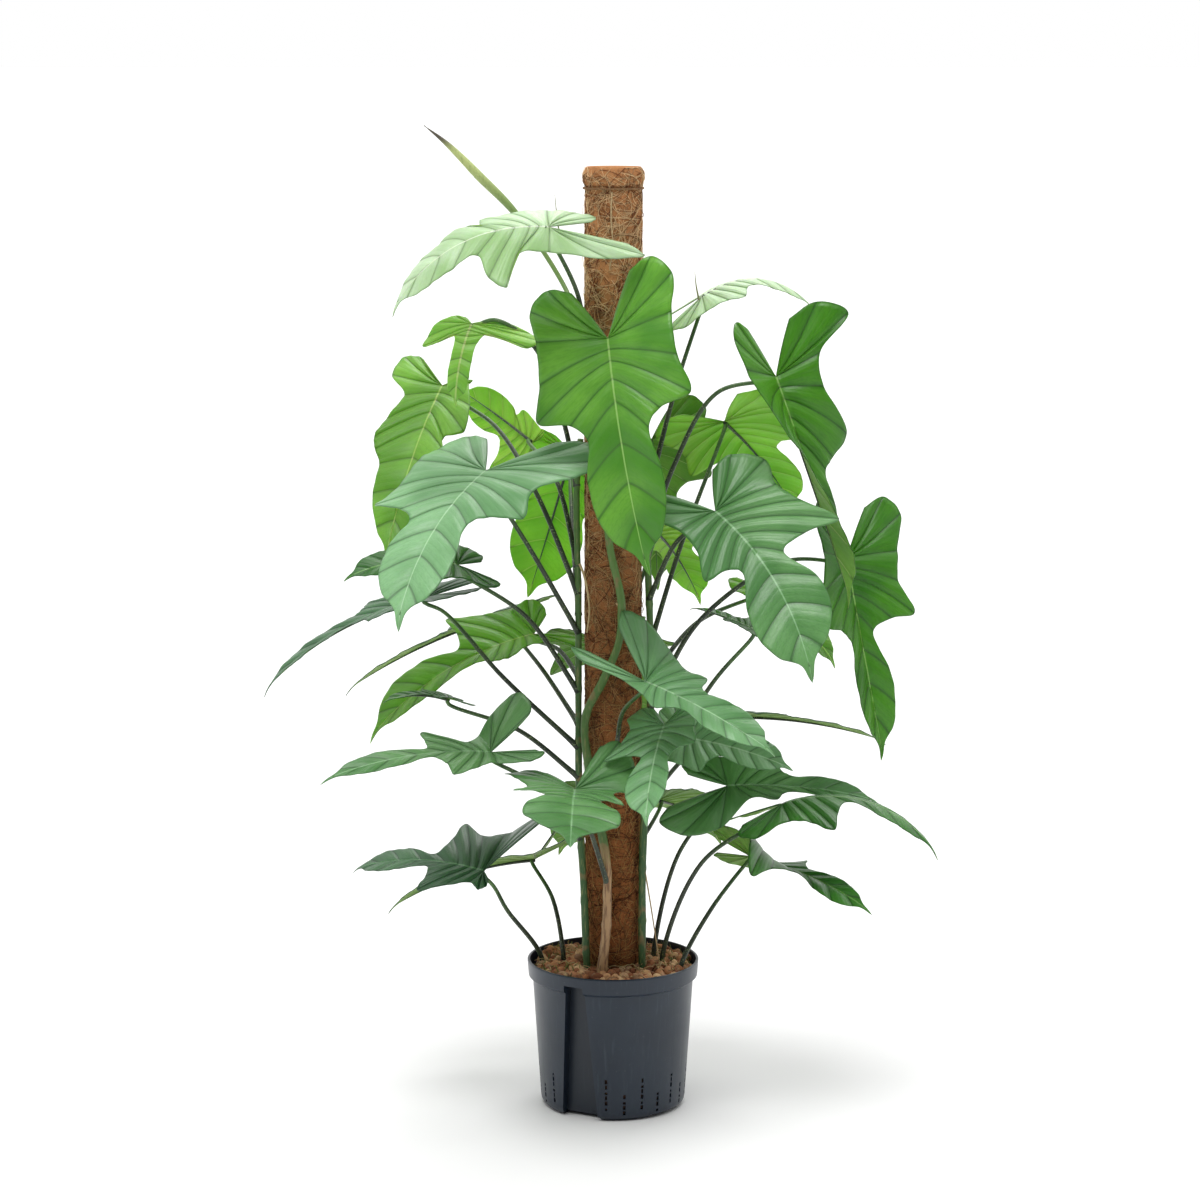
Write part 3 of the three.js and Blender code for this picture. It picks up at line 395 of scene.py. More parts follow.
def rgb(red, green, blue):
    """The linear colour of display values from 0 to 255."""
    linear = []
    for level in (red, green, blue):
        part = level / 255
        linear.append(part / 12.92 if part <= 0.04045 else ((part + 0.055) / 1.055) ** 2.4)
    return (*linear, 1)


class Graph:
    """A material, short ways to add nodes to it, and the colour laid on so far."""

    def __init__(self, name, colour):
        self.material = bpy.data.materials.new(name)
        self.material.use_nodes = True
        self.tree = self.material.node_tree
        self.colour = colour

    def add(self, kind, inputs=None, **settings):
        node = self.tree.nodes.new("ShaderNode" + kind)
        for name, value in settings.items():
            setattr(node, name, value)
        self.fill(node, inputs or {})
        return node

    def fill(self, node, inputs):
        for name, value in inputs.items():
            socket = node.inputs[name]
            if isinstance(value, bpy.types.NodeSocket):
                self.tree.links.new(value, socket)
            else:
                socket.default_value = value

    def place(self):
        return self.add("TexCoord").outputs["Object"]

    def noise(self, scale, detail=3, roughness=0.5, vector=None):
        inputs = {"Vector": vector or self.place(), "Scale": scale, "Detail": detail, "Roughness": roughness}
        return self.add("TexNoise", inputs).outputs[0]

    def math(self, operation, *values):
        node = self.add("Math", operation=operation)
        self.fill(node, dict(enumerate(values)))
        return node.outputs[0]

    def between(self, value, low, high):
        """Nought below low and one above high, smooth in between. Low may be the greater."""
        node = self.add("MapRange", interpolation_type="SMOOTHSTEP")
        self.fill(node, {0: value, 1: low, 2: high})
        return node.outputs[0]

    def cover(self, colour, where, share=None):
        """Lays a colour, or a share of it, over the last one where the mask says."""
        node = self.add("Mix", data_type="RGBA", blend_type="MIX")
        self.fill(node, {0: self.times(where, share) if share else where, 6: self.colour, 7: colour})
        self.colour = node.outputs[2]

    def coat(self, colour, value, low, high, share=None):
        """The same, where a value goes from low to high."""
        self.cover(colour, self.between(value, low, high), share)

    def blend(self, first, colour, value, low, high):
        """One colour over another, apart from what is laid on so far."""
        kept, self.colour = self.colour, first
        self.coat(colour, value, low, high)
        made, self.colour = self.colour, kept
        return made

    def times(self, first, second):
        return self.math("MULTIPLY", first, second)

    def plus(self, first, second):
        return self.math("ADD", first, second)

    def minus(self, first, second):
        return self.math("SUBTRACT", first, second)

    def wave(self, phase, count):
        """Swellings with sharp valleys, count of them to each step of the phase."""
        return self.math("ABSOLUTE", self.math("SINE", self.times(phase, count * math.pi)))

    def split(self, vector):
        return self.add("SeparateXYZ", {0: vector}).outputs

    def height(self):
        return self.split(self.place())[2]

    def island(self):
        """A number of its own for each loose piece of the mesh."""
        return self.add("NewGeometry").outputs["Random Per Island"]

    def uv(self, title):
        return self.add("UVMap", uv_map=title).outputs[0]

    def stretched(self, vector, scale, turn=(0, 0, 0)):
        return self.add("Mapping", {0: vector, 2: turn, 3: scale}).outputs[0]

    def span(self, value, low, high):
        """A value from 0 to 1 spread between low and high."""
        return self.add("MapRange", {0: value, 3: low, 4: high}).outputs[0]

    def bump(self, height, distance, strength=1.0, below=None):
        inputs = {"Height": height, "Distance": distance, "Strength": strength}
        if below:
            inputs["Normal"] = below
        return self.add("Bump", inputs).outputs[0]

    def finish(self, **inputs):
        """Sets the shader's sockets, its colour among them, and gives the material."""
        inputs["Base_Color"] = self.colour
        named = {name.replace("_", " "): value for name, value in inputs.items()}
        self.fill(self.tree.nodes["Principled BSDF"], named)
        return self.material


def leaf_material(name, main, dark, rib, furrow, underside, through):
    """Leaf skin: veins follow the veins map, and width in metres comes from the flat map."""
    graph = Graph(name, main)
    way, across, _ = graph.split(graph.uv("veins"))
    length, width, _ = graph.split(graph.uv("flat"))
    phase = graph.times(way, LAST_ROW)
    bulge = graph.wave(phase, 1)
    fine = graph.wave(phase, FINE_VEINS)
    outward = graph.times(graph.math("ABSOLUTE", graph.minus(across, 0.5)), 2.0)
    netting = graph.noise(3.0, 3, 0.6, graph.stretched(graph.uv("veins"), (60, 5, 1)))
    graph.coat(dark, graph.noise(9, 2), 0.35, 0.65)
    graph.coat(dark, netting, 0.42, 0.7, 0.35)
    # Painted shade: darker along the fine veins, darker toward each side vein and darkest in its furrow,
    # over the grooves that the bump gives.
    graph.coat(dark, fine, 0.35, 0.0, 0.16)
    graph.coat(dark, bulge, 0.5, 0.1, 0.45)
    graph.coat(furrow, bulge, 0.17, 0.05, 0.75)
    line = graph.times(graph.between(bulge, 0.12, 0.04), graph.between(outward, 1.0, 0.75))
    graph.cover(rib, line, 0.6 if underside else 0.05)
    rib_width = graph.math("MAXIMUM", graph.minus(RIB_WIDTH, graph.times(length, RIB_TAPER)), RIB_TIP_WIDTH)
    beside = graph.math("DIVIDE", graph.math("ABSOLUTE", width), rib_width)
    graph.coat(rib, beside, 1.15, 0.6, 0.7)
    graph.coat(furrow, outward, 0.975, 1.0, 0.5)
    side = -1.0 if underside else 1.0
    height = graph.times(graph.math("POWER", bulge, 0.9), side)
    height = graph.plus(height, graph.times(fine, 0.09 * side))
    height = graph.plus(height, graph.times(netting, 0.12))
    normal = graph.bump(height, 0.0024, 1.0, graph.bump(graph.noise(420, 2), 0.0002, 0.6))
    sheen = (0.5, 0.68) if underside else (0.28, 0.42)
    specular = 0.25 if underside or through > 0.5 else 0.48 - through * 0.7
    return graph.finish(
        Roughness=graph.span(graph.noise(60, 2), *sheen), Normal=normal, Specular_IOR_Level=specular,
        Subsurface_Weight=through, Subsurface_Radius=LIGHT_THROUGH, Subsurface_Scale=0.004,
    )


def leaf_materials():
    """For each tone, the materials of a leaf's upper side and its underside."""
    made = {}
    for tone, (through, *sides) in TONES.items():
        made[tone] = []
        for side, (main, dark, rib) in zip(("upper", "under"), sides):
            furrow = [level * FURROW_SHARE for level in dark]
            colours = [rgb(*colour) for colour in (main, dark, rib, furrow)]
            made[tone].append(leaf_material(f"leaf_{side}_{tone}", *colours, side == "under", through))
    return made


def stalk_material():
    """Leaf stalks are near black green low down and greener at the blade, with a fine grain."""
    graph = Graph("leaf_stalk", rgb(34, 46, 32))
    graph.coat(rgb(52, 64, 44), graph.noise(30, 2), 0.4, 0.65)
    high = graph.blend(rgb(72, 112, 50), rgb(56, 92, 42), graph.noise(40, 2), 0.4, 0.6)
    graph.coat(high, graph.split(graph.uv("veins"))[1], 0.45, 1.0)
    graph.coat(rgb(120, 138, 92), graph.noise(500, 1), 0.62, 0.72)
    return graph.finish(Roughness=0.4, Normal=graph.bump(graph.noise(260, 2), 0.0004, 0.5))


def stem_material(name, young, old, bark):
    """Stem skin from young at the top to old at the foot, with scars, and bark below a height."""
    graph = Graph(name, old)
    height = graph.height()
    streaks = graph.noise(320, 3, 0.6, graph.stretched(graph.place(), (1, 1, 0.15)))
    graph.coat(young, height, 0.35, 0.8)
    graph.coat(rgb(122, 128, 78), streaks, 0.5, 0.75)
    graph.coat(rgb(126, 104, 66), graph.noise(45, 2), 0.6, 0.68, 0.7)
    graph.coat(rgb(176, 140, 100), height, bark + 0.03, bark - 0.02)
    worn = graph.times(graph.between(height, bark + 0.02, bark - 0.02), graph.between(streaks, 0.45, 0.6))
    graph.cover(rgb(122, 90, 60), worn)
    return graph.finish(Roughness=0.55, Normal=graph.bump(streaks, 0.0012, 0.6))


def coir_material(name, pale, deep):
    """Coconut fibre: its two colours at the top of the pole, and redder and darker low down."""
    graph = Graph(name, None)
    low = graph.height()
    tints = []
    for colour in (pale, deep):
        lowered = [level * share for level, share in zip(colour, LOW_SHARE)]
        tints.append(graph.blend(rgb(*colour), rgb(*lowered), low, 1.15, 0.3))
    spread = graph.plus(graph.times(graph.island(), 0.6), graph.times(graph.noise(70, 4, 0.65), 0.7))
    fine = graph.noise(600, 3, 0.7)
    graph.colour = tints[1]
    graph.coat(tints[0], spread, 0.42, 0.75)
    graph.coat(tints[1], fine, 0.6, 0.75)
    return graph.finish(Roughness=0.9, Normal=graph.bump(fine, 0.0026, 0.9), Specular_IOR_Level=0.2)


def strand_material(name, first, second, roughness=0.7):
    """Roots, cord and moss: two colours by strand, with a rough skin."""
    graph = Graph(name, first)
    graph.cover(second, graph.island())
    graph.coat(first, graph.noise(240, 2), 0.5, 0.7)
    return graph.finish(Roughness=roughness, Normal=graph.bump(graph.noise(700, 2), 0.0006, 0.6))


def granule_material():
    """Fired clay: each granule its own brown, some tan, with a dusty pitted skin."""
    graph = Graph("clay_granule", None)
    ramp = graph.add("ValToRGB", {0: graph.island()})
    stops = ramp.color_ramp.elements
    for position, colour in CLAY_COLOURS:
        found = [stop for stop in stops if stop.position == position]
        stop = found[0] if found else stops.new(position)
        stop.color = rgb(*colour)
    graph.colour = ramp.outputs[0]
    skin = graph.noise(260, 4, 0.65)
    graph.coat(rgb(92, 52, 38), skin, 0.52, 0.75)
    graph.coat(rgb(206, 176, 146), graph.noise(90, 2), 0.55, 0.7, 0.4)
    return graph.finish(Roughness=0.88, Normal=graph.bump(skin, 0.0016, 0.8), Specular_IOR_Level=0.25)


def pot_material():
    """Slate plastic: satin, mottled, with upright drag marks and dust, and painted shade where it is set in.
    """
    graph = Graph("pot_plastic", rgb(19, 33, 48))
    graph.coat(rgb(25, 39, 54), graph.noise(14, 3), 0.35, 0.7)
    marks = graph.noise(260, 2, 0.5, graph.stretched(graph.place(), (1, 1, 0.06)))
    graph.coat(rgb(56, 68, 80), marks, 0.55, 0.8, 0.35)
    graph.coat(rgb(116, 120, 118), graph.noise(150, 4, 0.7), 0.62, 0.8, 0.18)
    x, y, z = graph.split(graph.place())
    out = graph.math("SQRT", graph.plus(graph.times(x, x), graph.times(y, y)))
    slope = (BODY_TOP_RADIUS - BODY_FOOT_RADIUS) / POT_HEIGHT
    inset = graph.minus(graph.plus(graph.times(z, slope), BODY_FOOT_RADIUS * MM), out)
    # Painted shade: the plastic darkens the deeper it lies inside the body's outer surface, in the gauge
    # recess and on the inside of the wall.
    graph.coat(rgb(10, 21, 33), inset, 0.0015, 0.006, 0.6)
    normal = graph.bump(graph.noise(900, 2), 0.00012, 0.5)
    return graph.finish(Roughness=graph.span(graph.noise(30, 3), 0.3, 0.42), Normal=normal)


def speckled_material(name, main, other, scale, roughness):
    graph = Graph(name, main)
    specks = graph.noise(scale, 4, 0.65)
    graph.coat(other, specks, 0.4, 0.65)
    return graph.finish(Roughness=roughness, Normal=graph.bump(specks, 0.002, 0.6))


def spear_material():
    """The rolled leaf: pale yellow green where it swells, darker and drier to its tip."""
    graph = Graph("rolled_leaf", rgb(110, 142, 74))
    height = graph.height()
    lined = graph.stretched(graph.place(), (1, 1, 0.12), (0, 0.7, 0))
    lines = graph.noise(380, 3, 0.6, lined)
    graph.coat(rgb(178, 190, 120), height, 1.13, 1.21)
    graph.coat(rgb(112, 138, 72), lines, 0.5, 0.7, 0.45)
    graph.coat(rgb(78, 72, 56), height, 1.215, 1.235)
    return graph.finish(Roughness=0.45, Normal=graph.bump(lines, 0.0008, 0.7))


# Shapes


def smooth_curve(points, steps):
    """A centripetal curve through the points, with steps samples from each to the next."""
    points = [np.array(point, float) for point in points]
    padded = [2 * points[0] - points[1], *points, 2 * points[-1] - points[-2]]
    samples = [points[0]]
    for i in range(len(points) - 1):
        before, start, end, after = padded[i : i + 4]
        first, middle, last = (
            max(1e-4, float(((b - a) ** 2).sum()) ** 0.25)
            for a, b in ((before, start), (start, end), (end, after))
        )
        leave = (start - before) / first - (end - before) / (first + middle) + (end - start) / middle
        arrive = (end - start) / middle - (after - start) / (middle + last) + (after - end) / last
        leave = leave * middle
        arrive = arrive * middle
        for step in range(1, steps + 1):
            t = step / steps
            samples.append(
                (2 * t**3 - 3 * t**2 + 1) * start
                + (t**3 - 2 * t**2 + t) * leave
                + (3 * t**2 - 2 * t**3) * end
                + (t**3 - t**2) * arrive
            )
    return np.array(samples)


def even_points(path, count):
    """The path resampled to count points at even distances."""
    lengths = np.linalg.norm(np.diff(path, axis=0), axis=1)
    along = np.concatenate([[0], np.cumsum(lengths)])
    wanted = np.linspace(0, along[-1], count)
    return np.stack([np.interp(wanted, along, path[:, axis]) for axis in range(3)], axis=1)


def curve(points, count, steps=16):
    """Evenly spaced points of a smooth curve."""
    return even_points(smooth_curve(points, steps), count)


def unit(vectors):
    return vectors / np.maximum(1e-12, np.linalg.norm(vectors, axis=-1, keepdims=True))


class Shape:
    """Collects the parts of one mesh. Each face corner keeps its own place in the two maps."""

    def __init__(self):
        self.points = []
        self.count = 0
        self.faces = []
        self.slots = []
        self.veins = []
        self.flat = []

    def add(self, points, faces, slot=0, veins=None):
        points = np.asarray(points, float).reshape(-1, 3)
        for face in faces:
            self.faces.append([int(corner) + self.count for corner in face])
            self.slots.append(slot)
            for corner in face:
                self.veins.append(veins[corner] if veins is not None else (0.0, 0.0))
                self.flat.append((0.0, 0.0))
        self.points.append(points)
        self.count += len(points)

    def tube(self, path, radii, sides=10, slot=0, ends=True):
        """A round tube along a path, with the way along it in the veins map."""
        path = np.asarray(path, float)
        radii = np.broadcast_to(np.asarray(radii, float), len(path))
        tangents = unit(np.gradient(path, axis=0))
        normal = np.cross(tangents[0], (0.31, 0.87, 0.39))
        angles = around(sides)
        rings = []
        for tangent, centre, radius in zip(tangents, path, radii):
            normal = unit(normal - tangent * normal.dot(tangent))
            across = np.cross(tangent, normal)
            ring = np.cos(angles)[:, None] * normal + np.sin(angles)[:, None] * across
            rings.append(centre + radius * ring)
        count = len(path)
        faces = ring_faces(count, sides)
        if ends:
            faces.append(list(range(sides - 1, -1, -1)))
            faces.append([(count - 1) * sides + j for j in range(sides)])
        way = np.repeat(np.linspace(0, 1, count), sides)
        veins = np.stack([np.full(count * sides, 0.5), way], axis=1)
        self.add(np.concatenate(rings), faces, slot, veins)

    def lathe(self, profile, sides):
        """A closed profile of radius and height in millimetres, turned about the vertical axis."""
        rings = [circle(radius, around(sides), height) for radius, height in profile]
        last = (len(profile) - 1) * sides
        ends = [list(range(sides - 1, -1, -1)), [last + j for j in range(sides)]]
        self.add(np.concatenate(rings) * MM, ring_faces(len(profile), sides) + ends)

    def make(self, name, materials, smooth=True):
        mesh = bpy.data.meshes.new(name)
        mesh.from_pydata(np.concatenate(self.points).tolist(), [], self.faces)
        mesh.polygons.foreach_set("material_index", self.slots)
        mesh.polygons.foreach_set("use_smooth", [smooth] * len(self.faces))
        for title, values in (("veins", self.veins), ("flat", self.flat)):
            layer = mesh.uv_layers.new(name=title)
            layer.data.foreach_set("uv", np.array(values, np.float32).ravel())
        for material in materials:
            mesh.materials.append(material)
        mesh.update()
        made = bpy.data.objects.new(name, mesh)
        bpy.context.scene.collection.objects.link(made)
        return made


def around(sides):
    """Angles spaced evenly round a full turn."""
    return np.linspace(0, 2 * np.pi, sides, endpoint=False)


def circle(radius, angles, height):
    """Points round the vertical axis. Radius and height may be one for each angle."""
    return np.stack([radius * np.cos(angles), radius * np.sin(angles), height + 0 * angles], axis=-1)


def ring_faces(count, sides):
    faces = []
    for i in range(count - 1):
        for j in range(sides):
            a, b = i * sides + j, i * sides + (j + 1) % sides
            faces.append([a, b, b + sides, a + sides])
    return faces


def dress(piece, slot, *nodes):
    """Hands a finished piece to the frame: what it rides on and the solids it stands for. The slot is not
    used.
    """
    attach(piece, "root")
    if nodes:
        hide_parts(*nodes)


def strands(paths, outward, radius, sides=3):
    """Thin strands as one shape. Paths is strand by point by axis, outward the side that faces out."""
    count, length = paths.shape[:2]
    tangents = unit(np.gradient(paths, axis=1))
    across = unit(np.cross(tangents, outward))
    lifted = np.cross(across, tangents)
    angles = around(sides)
    thin = radius[:, :, None, None]
    up = np.cos(angles)[:, None] * lifted[:, :, None, :]
    aside = np.sin(angles)[:, None] * across[:, :, None, :]
    points = (paths[:, :, None, :] + thin * (up + aside)).reshape(-1, 3)
    one = np.array(ring_faces(length, sides))
    ends = [[sides - 1 - j for j in range(sides)], [(length - 1) * sides + j for j in range(sides)]]
    shape = Shape()
    offsets = np.arange(count) * length * sides
    faces = (one[None] + offsets[:, None, None]).reshape(-1, 4).tolist()
    for end in ends:
        faces += (np.array(end)[None] + offsets[:, None]).tolist()
    shape.add(points, faces)
    return shape


# Leaves


def outline_edge(leaf, half, rows):
    """The smooth edge of one half at fractional rows, as u and v of the blade."""
    outline = OUTLINES[leaf["shape"][half]]
    back, side, end = leaf["spread"][half]
    corners = []
    for i, (u, v) in enumerate(outline):
        wide = back if i < 4 else side if i < 7 else end
        corners.append((u * leaf["lobes"][half] if u < 0 else u, v * leaf["width"] * wide, 0))
    steps = STEPS_PER_ROW
    edge = smooth_curve(corners, steps)
    index = np.clip(np.rint(rows * steps).astype(int), 0, len(edge) - 1)
    u, v = edge[index, 0], np.maximum(0, edge[index, 1])
    last = np.clip((u - DRIP_START) / (1 - DRIP_START), 0, 1)
    return u + DRIP_LENGTH * last**3, v * (1 - 0.5 * np.sin(np.pi * last**1.4))


def blade_frame(leaf):
    """A blade's joint, its length, and its directions along, out of its face and to its side."""
    base = np.array(leaf["at"], float) * MM
    along = np.array(leaf["tip"], float) * MM - base
    length = float(np.linalg.norm(along))
    along = along / length
    out = np.array(leaf["face"], float)
    out = unit(out - along * out.dot(along))
    return base, length, along, out, np.cross(out, along)


def blade_points(leaf, u, v, half, extra=0):
    """Points of a blade, as in the part's source, lifted by extra parts of its length."""
    base, length, along, out, side = blade_frame(leaf)
    u, v = np.asarray(u, float), np.asarray(v, float)
    fall = np.where(u < 0, 1, 1 - u)
    rise = 4 * leaf["arch"] * u * fall
    sway = 4 * leaf["bend"] * u * fall
    roll = math.radians(leaf["twist"]) * np.sin(np.pi / 2 * np.maximum(0, u))
    slope = 4 * leaf["arch"] * np.where(u < 0, 1, 1 - 2 * u)
    normal = unit(out - slope[..., None] * along)
    turn, lean = np.cos(roll)[..., None], np.sin(roll)[..., None]
    upward = normal * turn + side * lean
    sideward = side * turn - normal * lean
    fold = math.radians(leaf["fold"][half])
    reach = np.abs(v) / CUP_REACH
    phase = 0 if half else 1.9
    lift = (
        np.abs(v) * math.sin(fold)
        + leaf["perk"][half] * np.maximum(0, -u)
        - CUP_REACH * CUP_REACH * leaf["cup"] * reach**2
        + leaf["wave"] * reach**2 * np.sin(WAVES * u + phase)
        + extra
    )
    return (
        base
        + along * (length * u)[..., None]
        + out * (length * rise)[..., None]
        + side * (length * sway)[..., None]
        + sideward * (length * v * math.cos(fold))[..., None]
        + upward * (length * lift)[..., None]
    )


def half_blade(leaf, half, phase):
    """The grid of one half: its points, and each point's place in the two maps."""
    sign = 1 if half else -1
    length = blade_frame(leaf)[1]
    rows = np.linspace(0, LAST_ROW, LAST_ROW * STEPS_PER_ROW + 1)
    t = np.linspace(0, 1, STEPS_ACROSS + 1) ** 0.85
    edge_u, edge_v = outline_edge(leaf, half, rows)
    start = np.interp(rows, range(LAST_ROW + 1), VEIN_STARTS)
    u = start[:, None] + (edge_u - start)[:, None] * t**VEIN_SWEEP
    notch = 1 - (1 - LOBE_NOTCH) * np.maximum(0, 1 - rows)[:, None] * (1 - t)
    v = sign * edge_v[:, None] * t * notch
    between = np.abs(np.sin(np.pi * rows))[:, None] ** 0.8
    swell = np.sin(np.pi * np.minimum(1, t * 0.9 + 0.04)) ** 0.7
    wide = np.minimum(1, edge_v / 0.12)[:, None]
    ripple = np.sin(2 * np.pi * 0.8 * rows + phase) + 0.6 * np.sin(2 * np.pi * 1.9 * rows + 2 * phase)
    extra = QUILT_HEIGHT * between * swell * wide + RIPPLE_HEIGHT * ripple[:, None] * t**3 * wide
    extra = extra - DRIP_HOOK * np.clip((u - DRIP_START) / (1 - DRIP_START), 0, 2) ** 3
    points = blade_points(leaf, u, v, half, extra)
    across = np.broadcast_to(0.5 + 0.5 * sign * t, u.shape)
    veins = np.stack([np.broadcast_to((rows / LAST_ROW)[:, None], u.shape), across], axis=-1)
    flat = np.stack([u * length, v * length], axis=-1)
    return points, veins, flat


def blade_sheet(leaf, phase):
    """Both halves joined at the midrib: points, faces of them, and each face's places in the maps."""
    points, veins, flat, faces = [], [], [], []
    first = 0
    for half in (1, 0):
        grid, vein_map, flat_map = half_blade(leaf, half, phase)
        rows, steps = grid.shape[:2]
        index = first + np.arange(rows * steps).reshape(rows, steps)
        quads = np.stack([index[:-1, :-1], index[:-1, 1:], index[1:, 1:], index[1:, :-1]], axis=-1)
        quads = quads.reshape(-1, 4)
        faces.append(quads[:, ::-1] if half else quads)
        points.append(grid.reshape(-1, 3))
        veins.append(vein_map.reshape(-1, 2))
        flat.append(flat_map.reshape(-1, 2))
        first += rows * steps
    points = np.concatenate(points)
    places, joined = np.unique(np.rint(points * 1e6).astype(np.int64), axis=0, return_inverse=True)
    joined = joined.ravel()
    return places * 1e-6, joined, np.concatenate(faces), np.concatenate(veins), np.concatenate(flat)


def add_blade(shape, leaf, phase):
    """A plate with an upper and an under skin, each with its own material."""
    places, joined, quads, veins, flat = blade_sheet(leaf, phase)
    faces, corners = [], []
    for quad in quads.tolist():
        kept = []
        for corner in quad:
            if joined[corner] not in [joined[other] for other in kept]:
                kept.append(corner)
        if len(kept) > 2:
            faces.append([int(joined[corner]) for corner in kept])
            corners.append(kept)
    normals = np.zeros_like(places)
    for face in faces:
        normal = np.cross(places[face[1]] - places[face[0]], places[face[2]] - places[face[0]])
        for corner in face:
            normals[corner] += normal
    normals = unit(normals)
    count = len(places)
    half = BLADE_THICKNESS * MM / 2
    upper, under = places + half * normals, places - half * normals
    shape_first = shape.count
    shape.points.append(np.concatenate([upper, under]))
    shape.count += 2 * count
    edges = {}
    for face, kept in zip(faces, corners):
        ring = list(zip(face, kept))
        shape.faces.append([shape_first + corner for corner, _ in ring])
        shape.slots.append(0)
        shape.faces.append([shape_first + count + corner for corner, _ in reversed(ring)])
        shape.slots.append(1)
        for _, place in ring + ring[::-1]:
            shape.veins.append(veins[place])
            shape.flat.append(flat[place])
        for (a, place_a), (b, place_b) in zip(ring, ring[1:] + ring[:1]):
            edges[(a, b)] = (place_a, place_b)
    for (a, b), (place_a, place_b) in edges.items():
        if (b, a) in edges:
            continue
        shape.faces.append([shape_first + corner for corner in (b, a, a + count, b + count)])
        shape.slots.append(0)
        for place in (place_b, place_a, place_a, place_b):
            shape.veins.append(veins[place])
            shape.flat.append(flat[place])


def stem_path(name, count=200):
    return curve(STEMS[name]["points"], count)


def stalk_path(leaf):
    """The stalk from its stem, or from under the granules, to the blade, and on under the midrib."""
    out = blade_frame(leaf)[3]
    start = leaf["start"]
    if isinstance(start, str):
        path = stem_path(start)
        start = path[np.argmin(np.abs(path[:, 2] - leaf["height"]))]
    end = blade_points(leaf, np.array([0.025]), np.array([0.0]), 1)[0]
    neck = end - out * NECK_LENGTH * MM
    bends = [np.array(point, float) * MM for point in (start, *leaf["via"])]
    return curve([*bends, neck, end], 48)


def add_stalk(shape, leaf):
    """The tapered stalk, and the midrib that runs on from it under the blade."""
    path = stalk_path(leaf)
    t = np.linspace(0, 1, len(path))
    foot, top = (radius * MM for radius in leaf["stalk"])
    radii = foot + (top - foot) * t
    radii = radii * (1 + 0.5 * np.exp(-t * 30)) * (1 + 0.18 * np.exp(-(1 - t) * 26))
    shape.tube(path, radii, 12, slot=2)
    u = np.linspace(0.0, 0.96, 40)
    middle = blade_points(leaf, u, np.zeros_like(u), 1)
    beside = blade_points(leaf, u, np.full_like(u, 0.004), 1)
    tangent = unit(np.gradient(middle, axis=0))
    beneath = unit(np.cross(tangent, unit(beside - middle)))
    if beneath[5].dot(blade_frame(leaf)[3]) > 0:
        beneath = -beneath
    thick = 0.92 * top * (1 - 0.82 * u)
    shape.tube(middle + beneath * (thick * 0.75)[:, None], thick, 8, slot=2)


def make_leaves():
    """Each leaf as one piece: its blade, and its stalk with the midrib under the blade."""
    materials = leaf_materials()
    stalk = stalk_material()
    for i, leaf in enumerate(LEAVES):
        shape = Shape()
        add_blade(shape, leaf, 1.3 * i)
        add_stalk(shape, leaf)
        name = f"leaf_{i + 1:02d}"
        piece = shape.make(name + "_look", [*materials[leaf["tone"]], stalk])
        dress(piece, "leaf", name)


def make_new_leaf():
    """The next leaf, still rolled: an overlap winds up it, and it thins to a dry tip."""
    path = curve(SPEAR, 90)
    t = np.linspace(0, 1, len(path))
    swollen = SPEAR_STALK + SPEAR_SWELL * np.sin(np.pi * np.minimum(1, (t - 0.5) * 1.6))
    wide = np.where(t < 0.5, SPEAR_STALK, swollen)
    radii = np.maximum(SPEAR_TIP, wide * (1.02 - t**8)) * MM
    shape = Shape()
    shape.tube(path * MM, radii, SPEAR_SIDES)
    points = shape.points[0].reshape(len(path), SPEAR_SIDES, 3)
    turn = (around(SPEAR_SIDES)[None] - 9 * t[:, None]) % (2 * np.pi)
    ridge = 1 + 0.1 * np.exp(-turn * 1.2) - 0.05
    centre = points.mean(axis=1, keepdims=True)
    shape.points[0] = (centre + (points - centre) * ridge[..., None]).reshape(-1, 3)
    dress(shape.make("new_leaf_look", [spear_material()]), "new_leaf", "new_leaf")


def make_sheaths():
    """Dry tips of the sheaths that wrapped the last leaves."""
    shape = Shape()
    for points in SHEATH_TIPS:
        path = curve(points, 14) * MM
        shape.tube(path, np.linspace(1.6, 0.3, 14) * MM, 8)
    material = strand_material("sheath", rgb(150, 158, 112), rgb(116, 108, 72))
    dress(shape.make("sheath_tips", [material]), "new_leaf")


def make_stems():
    """Climbing stems with rings where leaves grew. The front one is woody and flares at its foot."""
    green = stem_material("stem_green", rgb(74, 112, 50), rgb(52, 88, 44), 0.0)
    woody = stem_material("stem_woody", rgb(88, 124, 56), rgb(66, 100, 44), 0.33)
    for name, stem in STEMS.items():
        path = stem_path(name, 160)
        t = np.linspace(0, 1, len(path))
        foot, top = stem["radius"]
        radii = foot + (top - foot) * t
        along = np.linspace(0, np.linalg.norm(np.diff(path, axis=0), axis=1).sum(), len(path))
        ring = np.abs((along / NODE_SPACING + 0.4 * len(name)) % 1 - 0.5) * 2
        radii = radii * (1 + RING_SWELL * np.exp(-((1 - ring) * 9) ** 2) + 0.05 * np.sin(along / 17))
        if name == "front":
            radii = radii * (1 + 0.3 * np.exp(-(((path[:, 2] - WOODY_FOOT) / 26) ** 2)))
        shape = Shape()
        shape.tube(path * MM, radii * MM, 20)
        material = woody if name == "front" else green
        dress(shape.make(f"stem_{name}_look", [material]), "stem", f"stem_{name}")


# Pole


def pole_radius(z):
    """The radius of the sleeve at heights in millimetres: straight, then the rolled top."""
    roll_foot = POLE_TOP - ROLL_HEIGHT
    way = np.clip((z - roll_foot) / ROLL_HEIGHT, 0, 1)
    bulge = np.sqrt(np.maximum(0, 1 - (2 * way - 1) ** 2))
    waist = 1.2 * np.exp(-(((z - roll_foot + 3) / 3.5) ** 2))
    return np.where(z > roll_foot, ROLL_RADIUS - 5 + 5 * bulge, POLE_RADIUS - waist)


